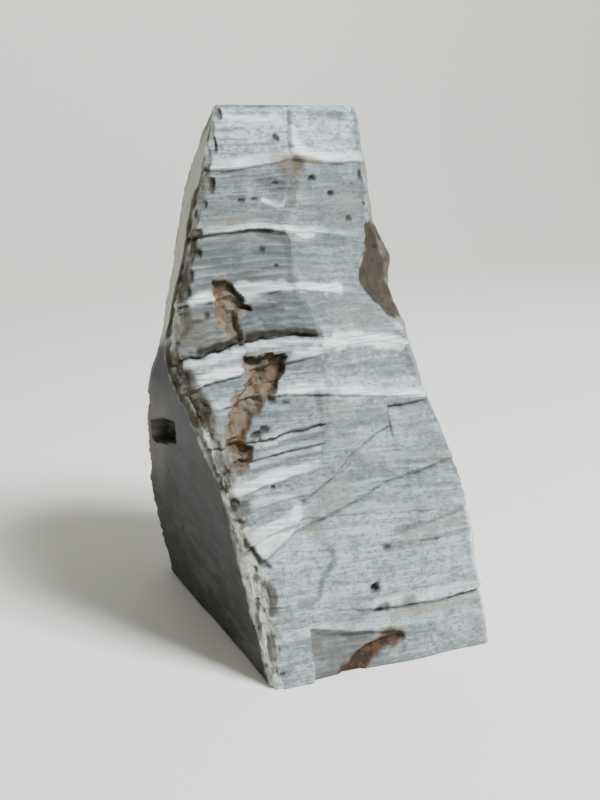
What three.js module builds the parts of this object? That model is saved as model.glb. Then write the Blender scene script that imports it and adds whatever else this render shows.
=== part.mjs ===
// Raw soapstone block: one natural stone with a sawn base and top, a front split in two planes that meet
// at a low ridge, a smooth weathered left side and rough split sides behind.
// Millimetres, +Z up, +X to the right along the front base edge, -Y to the front. The origin lies on the
// sawn base, under the middle of the block.
//
// Corner lines (arrises) run from the base to the top, and at each height straight sides join them. Each
// side is then moved in or out by its relief: the stepped layers and seams of the front, the hollows, the
// worn arrises and the rough skin behind.

import * as THREE from 'three';

const { smoothstep, lerp, clamp } = THREE.MathUtils;

// ---- driving dimensions ----------------------------------------------------------------------------

const HEIGHT = 179;            // sawn top above the sawn base
const ROW_SPACING = 2.5;       // height between rows of facets
const LEDGE_STEP = 0.9;        // height of the steep face under a layer's lip
const CORNER_BLEND = 7;        // distance from an arris over which its two sides share a direction
const RIDGE_BLEND = 1.2;       // half the width over which the left layers give way to the right ones
const EDGE_BEVEL = 0.8;        // worn edge round the sawn base and top
const WRAP = 9;                // how far the front's layers run on round an outer arris
const SKIN_LUMPS = 1.5;        // height of the lumps of the rough skin behind
const SKIN_LUMP_SIZE = 17;
const FRONT_LUMPS = 0.5;       // height of the gentle swells of the split front
const FRONT_LUMP_SIZE = 13;
const LINE_WANDER = 0.7;       // how far a layer line strays from its straight course
const LINE_WANDER_SIZE = 11;

// Corner lines, anticlockwise from above starting at the front left. line: [height, x, y];
// wear: [height, depth of the broken edge]; columns: facets from this arris to the next.
const ARRISES = [
  // front left
  { line: [[0, -40, -52], [36, -44, -37.5], [57, -46.5, -29], [80, -52, -15], [98, -56.3, -1],
    [112, -53.3, 2.5], [130, -47.4, 6.5], [160, -38, 13], [HEIGHT, -30.3, 25]],
    wear: [[0, 2], [12, 2.5], [36, 2.7], [46, 2.3], [62, 1.6], [69, 1.9], [77, 2.7], [91, 2.9], [97, 2.4],
      [108, 2.4], [116, 1.5], [HEIGHT, 1]], columns: 16 },
  // ridge
  { line: [[0, -24, -52.2], [34, -33, -41], [53, -21.5, -33.5], [72, -11, -25.5], [97, -5.8, -15],
    [110, -7, -7.5], [117, -10.6, -3.4], [123, -11, 0], [129, -10.4, 2.7], [135, -10, 4.6],
    [139, -12.4, 5.6], [160, -7.5, 11], [HEIGHT, -1.5, 26]],
    wear: [[0, 0]], columns: 15 },
  // front right
  { line: [[0, 40, -52.5], [42, 37, -42], [63, 34, -34], [83, 31, -19], [103, 27, -8], [107, 22.6, -5.2],
    [110.6, 19.8, -3], [114, 17.8, -1], [118, 15.8, 1.4], [122.6, 15.6, 4.2], [126.3, 18.6, 8],
    [129.5, 21, 10.5], [136, 22.6, 12.2], [150, 25, 17], [161, 23.4, 19.7], [168, 25, 22.6],
    [HEIGHT, 26.2, 28]],
    wear: [[0, 0.8], [168, 0.8], [174, 1], [HEIGHT, 2.2]], columns: 5 },
  // right
  { line: [[0, 40, 0], [60, 39, 5], [97, 37, 8], [104, 36, 10.5], [110, 34.9, 14], [113, 35.1, 16],
    [116, 36.6, 18.3], [119.5, 37.4, 20], [125, 38.2, 21.8], [131.2, 35.4, 23.3], [138, 31.4, 24.4],
    [HEIGHT, 27.5, 34]],
    wear: [[0, 0]], columns: 4 },
  // back right
  { line: [[0, 41, 54], [60, 40, 57], [120, 36, 58], [HEIGHT, 27, 57]],
    wear: [[0, 3]], columns: 4 },
  // back left
  { line: [[0, -36, 60], [50, -40, 62], [100, -40, 60], [HEIGHT, -20, 56]],
    wear: [[0, 3]], columns: 3 },
  // left
  { line: [[0, -44.8, 50], [34, -51, 50], [63, -55.7, 36], [88, -58.6, 17], [97, -56, 15],
    [107, -51.6, 20], [118, -46.8, 25], [139, -43, 29], [147, -41, 29.5], [154.5, -38.4, 30],
    [161, -36.4, 30], [167.5, -33.2, 30], [173, -29.4, 30], [HEIGHT, -27, 30]],
    wear: [[0, 2], [90, 1.5], [HEIGHT, 1]], columns: 7 },
];
const RIDGE = 1;
const FRONT_RIGHT = 2;
const LEFT = 6;

// Layer lines of the front, from the base up. at: height at the front left arris, the ridge and the
// front right arris; bow: how far the line rises in the middle of the left and the right column.
// lip, cut: how far the stone stands out just above the line and is set back (negative) just below it, at
// the front left arris, left of the ridge, right of the ridge and at the front right arris.
// reach: the heights over which these two fade away from the line.
const LAYERS = [
  { at: [0, 0, 0], bow: [0, 0], lip: [0, 0, 0, 0], cut: [0, 0, 0, 0], reach: [1, 1] },
  { at: [12, 14.5, 10], bow: [0, 0], lip: [0.3, 0.3, 0.3, 0.2],
    cut: [-0.2, -0.1, -0.2, 0], reach: [3, 2.5] },
  { at: [24.9, 24.8, 19.5], bow: [0, -3.7], lip: [0.3, 0.4, 0.1, 0.6],
    cut: [-0.4, -0.5, -0.1, -1.1], reach: [3, 2.5] },
  { at: [36, 42.3, 37], bow: [0, 0], lip: [0.2, 0.3, 0.1, 0.2],
    cut: [-0.2, -0.2, -0.1, -0.2], reach: [3, 3] },
  { at: [41.8, 49.2, 47], bow: [0, 0], lip: [1.8, 1.9, 0.4, 0.4],
    cut: [-0.2, -0.3, -0.4, -0.3], reach: [3, 3] },
  { at: [51.8, 56.8, 55], bow: [0, 0], lip: [0.5, 0.5, 0.2, 0.2],
    cut: [-0.3, -0.3, -0.2, -0.2], reach: [2.5, 2.5] },
  { at: [57.4, 63.9, 63], bow: [0.3, 0], lip: [1.9, 1.6, 0.1, 0.3],
    cut: [1, 0.8, 0, -0.5], reach: [2.8, 3] },
  { at: [65, 71.3, 71.5], bow: [0.7, 0], lip: [0.6, 0.7, 0.1, 0.1],
    cut: [-1, -1.4, 0, 0], reach: [1.6, 2] },
  { at: [72, 76.8, 77.5], bow: [-0.6, 0], lip: [0.8, 0.7, 0.1, 0.1],
    cut: [-1.2, -1.6, 0, 0], reach: [1.8, 2] },
  { at: [81.2, 86.5, 81.8], bow: [1.8, -0.8], lip: [0.9, 1.3, 1.2, 1.2],
    cut: [-0.4, -0.3, 0, 0], reach: [2.4, 2] },
  { at: [88.2, 98.8, 97.6], bow: [0.3, 2.2], lip: [1.7, 0.7, 0.2, 1.2],
    cut: [-0.8, -0.6, 0, 0.1], reach: [2, 2.4] },
  { at: [95.8, 104.3, 102.6], bow: [2.8, 0], lip: [-1, -1.2, 0.5, 0.6],
    cut: [-2.4, -3.2, 0, 0], reach: [3, 2.6] },
  { at: [114.8, 119, 115.2], bow: [0.3, 0], lip: [1.6, 0.5, 1.6, 0.2],
    cut: [-0.2, 0.2, 0.2, 0], reach: [2, 3] },
  { at: [137.2, 138.2, 133.3], bow: [0.6, -0.6], lip: [1.5, 1.4, 1.8, 0.1],
    cut: [-1.3, -1.3, 0.2, 0], reach: [2, 1.8] },
  { at: [147.5, 147.5, 144.5], bow: [0, 0], lip: [0, 0, 0.4, 0.4],
    cut: [0, 0.1, 0.1, 0.1], reach: [2.5, 5] },
  { at: [158.4, 161.3, 159], bow: [-1.2, 0], lip: [1.4, 0.9, 1.1, 1.2],
    cut: [-0.1, -0.1, -0.2, -0.2], reach: [3.5, 3] },
  { at: [HEIGHT, HEIGHT, HEIGHT], bow: [0, 0], lip: [0, 0, 0, 0], cut: [0, 0, 0, 0], reach: [1, 1] },
];

// Oblique seams of the front, as lines of [x, height]: the stone under the line is set back by drop, which
// fades over reach; ends: distance over which the seam dies out to the left and to the right.
const SEAMS = [
  { line: [[-20.2, 54.8], [-16.9, 57], [-10.3, 60.2], [-7.5, 62.4], [-2.1, 66.8], [2, 69.2], [9.4, 72.4],
    [14, 73.8], [14.6, 79.9], [21.5, 80], [31, 80.2]],
    drop: 1.9, reach: 9, ends: [5, 20] },
  { line: [[-36.5, 38.6], [-30, 43.6], [-26, 46.2], [-21, 47.3], [-12.9, 49.6], [-3.3, 52.8],
    [7.4, 57.2], [13.3, 58.6], [19.1, 59.6], [29.2, 61.8]],
    drop: 1.6, reach: 10, ends: [5, 20] },
];
const SEAM_STEP = 1.6;

// Shallow bowls broken out of the front: middle x and height, half width, half height and depth.
const SCOOPS = [
  { x: 10, z: 170, halfWidth: 13.5, halfHeight: 8.8, depth: 2.4 },
  { x: -16.5, z: 151, halfWidth: 8, halfHeight: 4.6, depth: 2.2 },
  { x: 20, z: 90, halfWidth: 9, halfHeight: 5, depth: 0.7 },
];

// Shallow flake split off the front at the base: its top falls to the right by slope from its height at
// the left end; steep within edge of these two, it fades out over the last part of its length.
const FLAKE = { left: -25.6, right: 17, top: 16.6, slope: 0.21, depth: 1.6, fade: 30, edge: 0.4 };

// Hollows broken out of a side. outline: [across, height, rim] for each corner, where across is x on the
// front and y on the other sides, and rim is the width of the wall from this corner to the next.
const HOLLOWS = [
  { side: 0, depth: 2.6, outline: [[-39.2, 122.4, 0.9], [-35.8, 122.6, 0.7], [-32.4, 120.7, 0.7],
    [-30.6, 118.4, 0.7], [-29.2, 115.1, 0.7], [-26.8, 113.7, 0.7], [-27.5, 112.2, 1.2],
    [-30.3, 112.6, 1.3], [-32.2, 111.4, 1.3], [-32.2, 109.2, 1.2], [-31.2, 106.5, 1.2],
    [-30.8, 102.8, 1.3], [-33.3, 101.6, 1.6], [-36.6, 104.9, 1.6], [-37.6, 107.6, 1.4],
    [-38.6, 109.4, 1.4], [-40, 111.8, 1.2], [-39.2, 117.5, 1.2]] },
  { side: 0, depth: 3.2, outline: [[-32.6, 98.6, 0.6], [-18.4, 98.8, 0.8], [-18.9, 95.5, 0.8],
    [-21.1, 92.4, 0.8], [-22.7, 88.8, 0.9], [-25.1, 86.8, 1.6], [-28.5, 85, 1.8], [-30.4, 81.7, 1.8],
    [-33.1, 79.2, 1.6], [-35.5, 76.4, 1.8], [-37.2, 73.6, 2], [-35.6, 71.4, 2], [-36.2, 68.2, 2],
    [-37.4, 65.6, 2.4], [-40.5, 64.6, 2.8], [-44, 66, 3], [-45.2, 70.1, 3], [-44.4, 74, 3],
    [-42, 77.5, 2.8], [-41, 80.6, 2.6], [-40.7, 83.4, 2.2], [-38, 86.4, 1.8], [-33.8, 88.8, 1.4],
    [-31.6, 92.1, 1.1], [-33, 94, 1.1]] },
  { side: 2, depth: 1.6, outline: [[12.8, 138, 1.2], [20, 138, 2.5], [18.5, 122, 3], [13, 108, 3],
    [4.5, 105, 3], [-2.8, 106.6, 1.4], [-1.4, 110.9, 1], [-0.4, 114.2, 1], [1.8, 118, 1],
    [4.7, 122.6, 1], [8.6, 126.3, 1], [11.2, 129.5, 1]] },
  { side: 6, depth: 6.5, outline: [[26.4, 70.2, 0.8], [11.7, 74.7, 0.8], [1.2, 76.6, 0.8],
    [2.6, 72.2, 0.8], [5, 67.6, 0.8], [18.8, 63.4, 0.8], [28.6, 60.8, 0.8], [28.6, 64.6, 0.8]] },
  { side: 1, depth: 0.9, outline: [[-17.4, -0.5, 0.5], [-13.8, 2.6, 0.5], [-10.8, 5.2, 0.5],
    [-8.2, 7, 0.5], [-3.9, 8.4, 0.5], [0.7, 9.2, 0.5], [7.7, 10, 0.5], [8.2, 7.6, 0.5], [3.6, 6.7, 0.5],
    [-1.5, 5, 0.5], [-5, 2.6, 0.5], [-8.6, -0.5, 0.5]] },
];

const BEVEL_WIDTH = 2.3;       // width of a broken arris on either side, as a multiple of its depth
const WEAR_WANDER = 0.4;       // how unevenly an arris is broken along its length, as a share of its depth
const WEAR_WANDER_SIZE = 7;
const TOP_RINGS = [0.66, 0.33]; // sizes of the rings that divide the sawn top

// ---- helpers ---------------------------------------------------------------------------------------

// Value between listed stops [position, value, ...] by straight lines; beyond the ends it holds.
function along(stops, position) {
  const last = stops.length - 1;
  if (position <= stops[0][0]) return stops[0][1];
  if (position >= stops[last][0]) return stops[last][1];
  const next = stops.findIndex((stop) => stop[0] > position);
  const [a, b] = [stops[next - 1], stops[next]];
  return lerp(a[1], b[1], (position - a[0]) / (b[0] - a[0]));
}

// The same with a smooth cubic through the stops, whose slope at a stop is that between its neighbours.
function curveThrough(stops, position, item) {
  const last = stops.length - 1;
  const next = clamp(stops.findIndex((stop) => stop[0] > position), 1, last);
  const i = position >= stops[last][0] ? last - 1 : next - 1;
  const slope = (k) => {
    const a = stops[Math.max(k - 1, 0)];
    const b = stops[Math.min(k + 1, last)];
    return (b[item] - a[item]) / (b[0] - a[0]);
  };
  const span = stops[i + 1][0] - stops[i][0];
  const t = clamp((position - stops[i][0]) / span, 0, 1);
  const rise = stops[i + 1][item] - stops[i][item];
  const curl = t * (1 - t) * ((1 - t) * (slope(i) * span - rise) - t * (slope(i + 1) * span - rise));
  return stops[i][item] + rise * t + curl;
}

// Repeatable random number from 0 to 1 for a lattice point.
function latticeValue(i, j, k) {
  const s = Math.sin(i * 127.1 + j * 311.7 + k * 74.7) * 43758.5453;
  return s - Math.floor(s);
}

// Smooth noise from -1 to 1 that changes over about one unit.
function noise(x, y, z) {
  const cell = [x, y, z].map(Math.floor);
  const [u, v, w] = [x - cell[0], y - cell[1], z - cell[2]].map((t) => t * t * (3 - 2 * t));
  let sum = 0;
  for (let corner = 0; corner < 8; corner += 1) {
    const [a, b, c] = [corner & 1, (corner >> 1) & 1, corner >> 2];
    const weight = (a ? u : 1 - u) * (b ? v : 1 - v) * (c ? w : 1 - w);
    sum += weight * latticeValue(cell[0] + a, cell[1] + b, cell[2] + c);
  }
  return 2 * sum - 1;
}

// ---- the plain block -------------------------------------------------------------------------------

const SIDES = ARRISES.length;
const corner = (index, z) => {
  const { line } = ARRISES[(index + SIDES) % SIDES];
  return new THREE.Vector2(curveThrough(line, z, 1), curveThrough(line, z, 2));
};

// Outward direction of a side at a height: square to the straight line between its two arrises.
function sideNormal(side, z) {
  const chord = corner(side + 1, z).sub(corner(side, z));
  return new THREE.Vector2(chord.y, -chord.x).normalize();
}

// Outward direction at a point of a side, turned towards the next side's near an arris.
function outward(side, z, fromStart, toEnd) {
  const direction = sideNormal(side, z);
  const share = (distance) => 1 - smoothstep(distance, 0, CORNER_BLEND);
  direction.addScaledVector(sideNormal(side - 1, z), share(fromStart));
  direction.addScaledVector(sideNormal(side + 1, z), share(toEnd));
  return direction.normalize();
}

// Height of a layer line over share f of a side. Behind the front it runs evenly round the stone.
function layerHeight(index, side, f) {
  const { at, bow } = LAYERS[index];
  if (index === 0 || index === LAYERS.length - 1) return at[0];
  const { x } = corner(side, at[1]).lerp(corner(side + 1, at[1]), f);
  const wander = LINE_WANDER * noise(x / LINE_WANDER_SIZE, index * 3.7, 0.5);
  if (side < FRONT_RIGHT) {
    return lerp(at[side], at[side + 1], f) + bow[side] * 4 * f * (1 - f) + wander;
  }
  const round = (side - FRONT_RIGHT + f) / (SIDES - FRONT_RIGHT);
  return lerp(at[2], at[0], round) + wander;
}

// ---- relief ----------------------------------------------------------------------------------------

// Value of a layer's four stations at a point of the front, changing over at the ridge; behind the front
// it fades within WRAP of the outer arris.
function stationValue(stations, place) {
  const { side, f, fromStart, toEnd } = place;
  if (side === 0) {
    const right = 0.5 * (1 - smoothstep(toEnd, 0, RIDGE_BLEND));
    return lerp(lerp(stations[0], stations[1], f), stations[2], right);
  }
  if (side === 1) {
    const left = 0.5 * (1 - smoothstep(fromStart, 0, RIDGE_BLEND));
    return lerp(lerp(stations[2], stations[3], f), stations[1], left);
  }
  if (side === FRONT_RIGHT) return stations[3] * (1 - smoothstep(fromStart, 0, WRAP));
  if (side === LEFT) return stations[0] * (1 - smoothstep(toEnd, 0, WRAP / 2));
  return 0;
}

// Stepped layers: what stands out above the lower line of the band, and what is cut back under its upper.
function layerRelief(place) {
  const lower = LAYERS[place.band];
  const upper = LAYERS[place.band + 1];
  const above = clamp(1 - (place.z - place.lowerLine) / lower.reach[0], 0, 1);
  const below = clamp(1 - (place.upperLine - place.z) / upper.reach[1], 0, 1);
  return stationValue(lower.lip, place) * above + stationValue(upper.cut, place) * below;
}

function seamRelief(place) {
  if (place.side > RIDGE) return 0;
  return SEAMS.reduce((sum, seam) => {
    const start = seam.line[0][0];
    const end = seam.line[seam.line.length - 1][0];
    const under = along(seam.line, place.x) - place.z;
    const dying = smoothstep(place.x, start - seam.ends[0], start)
      * (1 - smoothstep(place.x, end, end + seam.ends[1]));
    const fade = clamp(1 - under / seam.reach, 0, 1);
    return sum - seam.drop * smoothstep(under, -SEAM_STEP / 2, SEAM_STEP / 2) * fade * dying;
  }, 0);
}

function scoopRelief({ side, x, z }) {
  if (side > RIDGE) return 0;
  return SCOOPS.reduce((sum, scoop) => {
    const share = ((x - scoop.x) / scoop.halfWidth) ** 2 + ((z - scoop.z) / scoop.halfHeight) ** 2;
    return sum - scoop.depth * Math.max(1 - share, 0);
  }, 0);
}

function flakeRelief({ side, x, z }) {
  if (side > RIDGE) return 0;
  const { left, right, edge } = FLAKE;
  const top = FLAKE.top - FLAKE.slope * (x - left);
  const inside = smoothstep(x, left - edge, left + edge)
    * (1 - smoothstep(x, right - FLAKE.fade, right))
    * (1 - smoothstep(z, top - edge, top + edge));
  return -FLAKE.depth * inside;
}

// Share of a hollow's full depth at a point: 0 outside its outline; inside, the least over its edges of
// the smooth step across the edge's rim.
function insideOutline(across, height, outline) {
  let inside = false;
  let share = 1;
  outline.forEach(([x0, z0, rim], index) => {
    const [x1, z1] = outline[(index + 1) % outline.length];
    const beside = across < (x1 - x0) * (height - z0) / (z1 - z0) + x0;
    if ((z0 > height) !== (z1 > height) && beside) inside = !inside;
    const t = clamp(((across - x0) * (x1 - x0) + (height - z0) * (z1 - z0))
      / ((x1 - x0) ** 2 + (z1 - z0) ** 2), 0, 1);
    const distance = Math.hypot(across - lerp(x0, x1, t), height - lerp(z0, z1, t));
    share = Math.min(share, smoothstep(distance, 0, rim));
  });
  return inside ? share : 0;
}

function hollowRelief({ side, x, y, z }) {
  const here = HOLLOWS.filter((hollow) => hollow.side === side);
  return here.reduce((sum, { depth, outline }) =>
    sum - depth * insideOutline(side <= RIDGE ? x : y, z, outline), 0);
}

// Broken arrises: a bevel whose depth wanders along the corner line.
function wearRelief({ side, z, fromStart, toEnd }) {
  const bevel = (index, distance) => {
    const wander = 1 + WEAR_WANDER * noise(z / WEAR_WANDER_SIZE, index * 5.3, 2.5);
    const depth = along(ARRISES[index % SIDES].wear, z) * wander;
    return depth > 0 ? -depth * clamp(1 - distance / (BEVEL_WIDTH * depth), 0, 1) : 0;
  };
  return Math.min(bevel(side, fromStart), bevel(side + 1, toEnd));
}

// Gentle swells on the split front and the left side, coarser lumps on the rough skin behind.
function lumpRelief({ side, x, y, z, fromStart, toEnd }) {
  const swell = FRONT_LUMPS * noise(x / FRONT_LUMP_SIZE, y / FRONT_LUMP_SIZE, z / FRONT_LUMP_SIZE);
  if (side < FRONT_RIGHT || side === LEFT) return swell;
  const fade = side === FRONT_RIGHT ? smoothstep(fromStart, 0, CORNER_BLEND) : 1;
  const near = side === LEFT - 1 ? 1 - smoothstep(toEnd, 0, CORNER_BLEND) : 0;
  const lumps = noise(x / SKIN_LUMP_SIZE, y / SKIN_LUMP_SIZE, z / SKIN_LUMP_SIZE + 9)
    + 0.5 * noise(2.3 * x / SKIN_LUMP_SIZE, 2.3 * y / SKIN_LUMP_SIZE, 2.3 * z / SKIN_LUMP_SIZE);
  return lerp(swell, SKIN_LUMPS * lumps, fade * (1 - near));
}

const RELIEFS = [layerRelief, seamRelief, scoopRelief, flakeRelief, hollowRelief, wearRelief, lumpRelief];

// ---- the stone's skin as rings of points -----------------------------------------------------------

// Point of the finished surface: band of layers, share of the band's height, side and share of its length.
function surfacePoint(band, share, side, f) {
  const lowerLine = layerHeight(band, side, f);
  const upperLine = layerHeight(band + 1, side, f);
  const low = band === 0 ? lowerLine : lowerLine + LEDGE_STEP / 2;
  const high = band === LAYERS.length - 2 ? upperLine : upperLine - LEDGE_STEP / 2;
  const z = lerp(low, high, share);

  const start = corner(side, z);
  const end = corner(side + 1, z);
  const length = start.distanceTo(end);
  const { x, y } = start.clone().lerp(end, f);
  const place = { band, side, f, x, y, z, lowerLine, upperLine, fromStart: f * length,
    toEnd: (1 - f) * length };
  const bevel = Math.max(EDGE_BEVEL - z, EDGE_BEVEL - (HEIGHT - z), 0);
  const offset = RELIEFS.reduce((sum, relief) => sum + relief(place), 0) - bevel;
  const direction = outward(side, z, place.fromStart, place.toEnd);
  return new THREE.Vector3(x + direction.x * offset, y + direction.y * offset, z);
}

// One ring of points round the stone, starting at the front left arris.
function ring(band, share) {
  return ARRISES.flatMap(({ columns }, side) => Array.from({ length: columns },
    (_, column) => surfacePoint(band, share, side, column / columns)));
}

// All rings from the base up: each band of layers is divided evenly.
function allRings() {
  const rings = [];
  for (let band = 0; band + 1 < LAYERS.length; band += 1) {
    const rows = Math.max(2, Math.round((LAYERS[band + 1].at[1] - LAYERS[band].at[1]) / ROW_SPACING));
    for (let row = 0; row <= rows; row += 1) rings.push(ring(band, row / rows));
  }
  return rings;
}

// The sawn top closes with rings drawn in towards its middle.
function topRings(rim) {
  const middle = rim.reduce((sum, p) => sum.add(p), new THREE.Vector3()).divideScalar(rim.length);
  return [TOP_RINGS.map((size) => rim.map((p) => middle.clone().lerp(p, size))), middle];
}

function stoneGeometry() {
  const rings = allRings();
  const [cap, topMiddle] = topRings(rings[rings.length - 1]);
  rings.push(...cap);
  const baseMiddle = new THREE.Vector3(0, 0, 0);
  const points = [...rings.flat(), topMiddle, baseMiddle];
  const around = rings[0].length;
  const top = points.length - 2;
  const base = points.length - 1;

  const faces = [];
  for (let column = 0; column < around; column += 1) {
    const next = (column + 1) % around;
    for (let row = 0; row + 1 < rings.length; row += 1) {
      const [a, b] = [row * around + column, row * around + next];
      faces.push(a, b, b + around, a, b + around, a + around);
    }
    const last = (rings.length - 1) * around;
    faces.push(last + column, last + next, top);
    faces.push(next, column, base);
  }

  const geometry = new THREE.BufferGeometry();
  geometry.setAttribute('position', new THREE.Float32BufferAttribute(points.flatMap((p) => p.toArray()), 3));
  geometry.setIndex(faces);
  geometry.computeVertexNormals();
  return geometry;
}

// ---- the part --------------------------------------------------------------------------------------

const stone = new THREE.Mesh(
  stoneGeometry(),
  new THREE.MeshStandardMaterial({ color: 0xb9bcbd, roughness: 0.75, metalness: 0 }),
);
stone.name = 'soapstone';

const part = new THREE.Group();
part.add(stone);
export default part;
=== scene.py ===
import math

import bpy
import numpy as np
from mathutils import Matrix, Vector


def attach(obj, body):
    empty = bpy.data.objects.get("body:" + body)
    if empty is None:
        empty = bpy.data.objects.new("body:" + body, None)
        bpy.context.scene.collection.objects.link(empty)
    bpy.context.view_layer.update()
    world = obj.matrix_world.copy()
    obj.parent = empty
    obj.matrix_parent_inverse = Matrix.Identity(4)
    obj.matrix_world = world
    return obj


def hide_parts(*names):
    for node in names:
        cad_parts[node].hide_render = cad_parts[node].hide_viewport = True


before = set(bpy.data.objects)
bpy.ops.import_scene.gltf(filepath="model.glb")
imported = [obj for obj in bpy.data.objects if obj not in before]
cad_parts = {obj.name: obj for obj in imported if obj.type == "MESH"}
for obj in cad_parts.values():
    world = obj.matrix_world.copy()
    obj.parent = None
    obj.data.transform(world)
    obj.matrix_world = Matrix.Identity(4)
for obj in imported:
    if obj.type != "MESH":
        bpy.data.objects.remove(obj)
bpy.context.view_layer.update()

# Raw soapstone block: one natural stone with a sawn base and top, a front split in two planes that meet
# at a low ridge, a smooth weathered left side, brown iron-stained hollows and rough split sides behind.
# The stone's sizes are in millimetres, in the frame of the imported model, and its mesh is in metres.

MM = 0.001

# ---- the block's driving sizes, mm -----------------------------------------------------------------

HEIGHT = 179.0          # sawn top above the sawn base
ROW_SPACING = 0.67      # height between rows of points
LEDGE_STEP = 0.9        # height of the steep face under a layer's lip
CORNER_BLEND = 7.0      # distance from an arris over which its two sides share a direction
RIDGE_BLEND = 1.2       # half the width over which the left layers give way to the right ones
EDGE_BEVEL = 0.8        # worn edge round the sawn base and top
WRAP = 9.0              # how far the front's layers run on round an outer arris
SKIN_LUMPS = 1.5        # height of the lumps of the rough skin behind
SKIN_LUMP_SIZE = 17.0
FRONT_LUMPS = 0.5       # height of the gentle swells of the split front
FRONT_LUMP_SIZE = 13.0

# Corner lines (arrises), anticlockwise from above. line: (height, x, y); wear: (height, depth of the
# broken edge); columns: points from this arris to the next; crowd: above 1 draws the columns towards
# the next arris.
ARRISES = [
    # front left
    dict(columns=82, crowd=1.0,
         line=[(0, -40, -52), (36, -44, -37.5), (57, -46.5, -29), (80, -52, -15), (98, -56.3, -1),
               (112, -53.3, 2.5), (130, -47.4, 6.5), (160, -38, 13), (HEIGHT, -30.3, 25)],
         wear=[(0, 2), (12, 2.5), (36, 2.7), (46, 2.3), (62, 1.6), (69, 1.9), (77, 2.7), (91, 2.9),
               (97, 2.4), (108, 2.4), (116, 1.5), (HEIGHT, 1)]),
    # ridge
    dict(columns=84, crowd=1.0,
         line=[(0, -24, -52.2), (34, -33, -41), (53, -21.5, -33.5), (72, -11, -25.5), (97, -5.8, -15),
               (110, -7, -7.5), (117, -10.6, -3.4), (123, -11, 0), (129, -10.4, 2.7), (135, -10, 4.6),
               (139, -12.4, 5.6), (160, -7.5, 11), (HEIGHT, -1.5, 26)],
         wear=[(0, 0)]),
    # front right
    dict(columns=36, crowd=1.0,
         line=[(0, 40, -52.5), (42, 37, -42), (63, 34, -34), (83, 31, -19), (103, 27, -8),
               (107, 22.6, -5.2), (110.6, 19.8, -3), (114, 17.8, -1), (118, 15.8, 1.4), (122.6, 15.6, 4.2),
               (126.3, 18.6, 8), (129.5, 21, 10.5), (136, 22.6, 12.2), (150, 25, 17), (161, 23.4, 19.7),
               (168, 25, 22.6), (HEIGHT, 26.2, 28)],
         wear=[(0, 0.8), (168, 0.8), (174, 1), (HEIGHT, 2.2)]),
    # right
    dict(columns=24, crowd=1.0,
         line=[(0, 40, 0), (60, 39, 5), (97, 37, 8), (104, 36, 10.5), (110, 34.9, 14), (113, 35.1, 16),
               (116, 36.6, 18.3), (119.5, 37.4, 20), (125, 38.2, 21.8), (131.2, 35.4, 23.3),
               (138, 31.4, 24.4), (HEIGHT, 27.5, 34)],
         wear=[(0, 0)]),
    # back right
    dict(columns=32, crowd=1.0,
         line=[(0, 41, 54), (60, 40, 57), (120, 36, 58), (HEIGHT, 27, 57)],
         wear=[(0, 3)]),
    # back left
    dict(columns=14, crowd=1.0,
         line=[(0, -36, 60), (50, -40, 62), (100, -40, 60), (HEIGHT, -20, 56)],
         wear=[(0, 3)]),
    # left
    dict(columns=46, crowd=1.5,
         line=[(0, -44.8, 50), (34, -51, 50), (63, -55.7, 36), (88, -58.6, 17), (97, -56, 15),
               (107, -51.6, 20), (118, -46.8, 25), (139, -43, 29), (147, -41, 29.5), (154.5, -38.4, 30),
               (161, -36.4, 30), (167.5, -33.2, 30), (173, -29.4, 30), (HEIGHT, -27, 30)],
         wear=[(0, 2), (90, 1.5), (HEIGHT, 1)]),
]
SIDES = len(ARRISES)
RIDGE, FRONT_RIGHT, LEFT = 1, 2, 6

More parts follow.
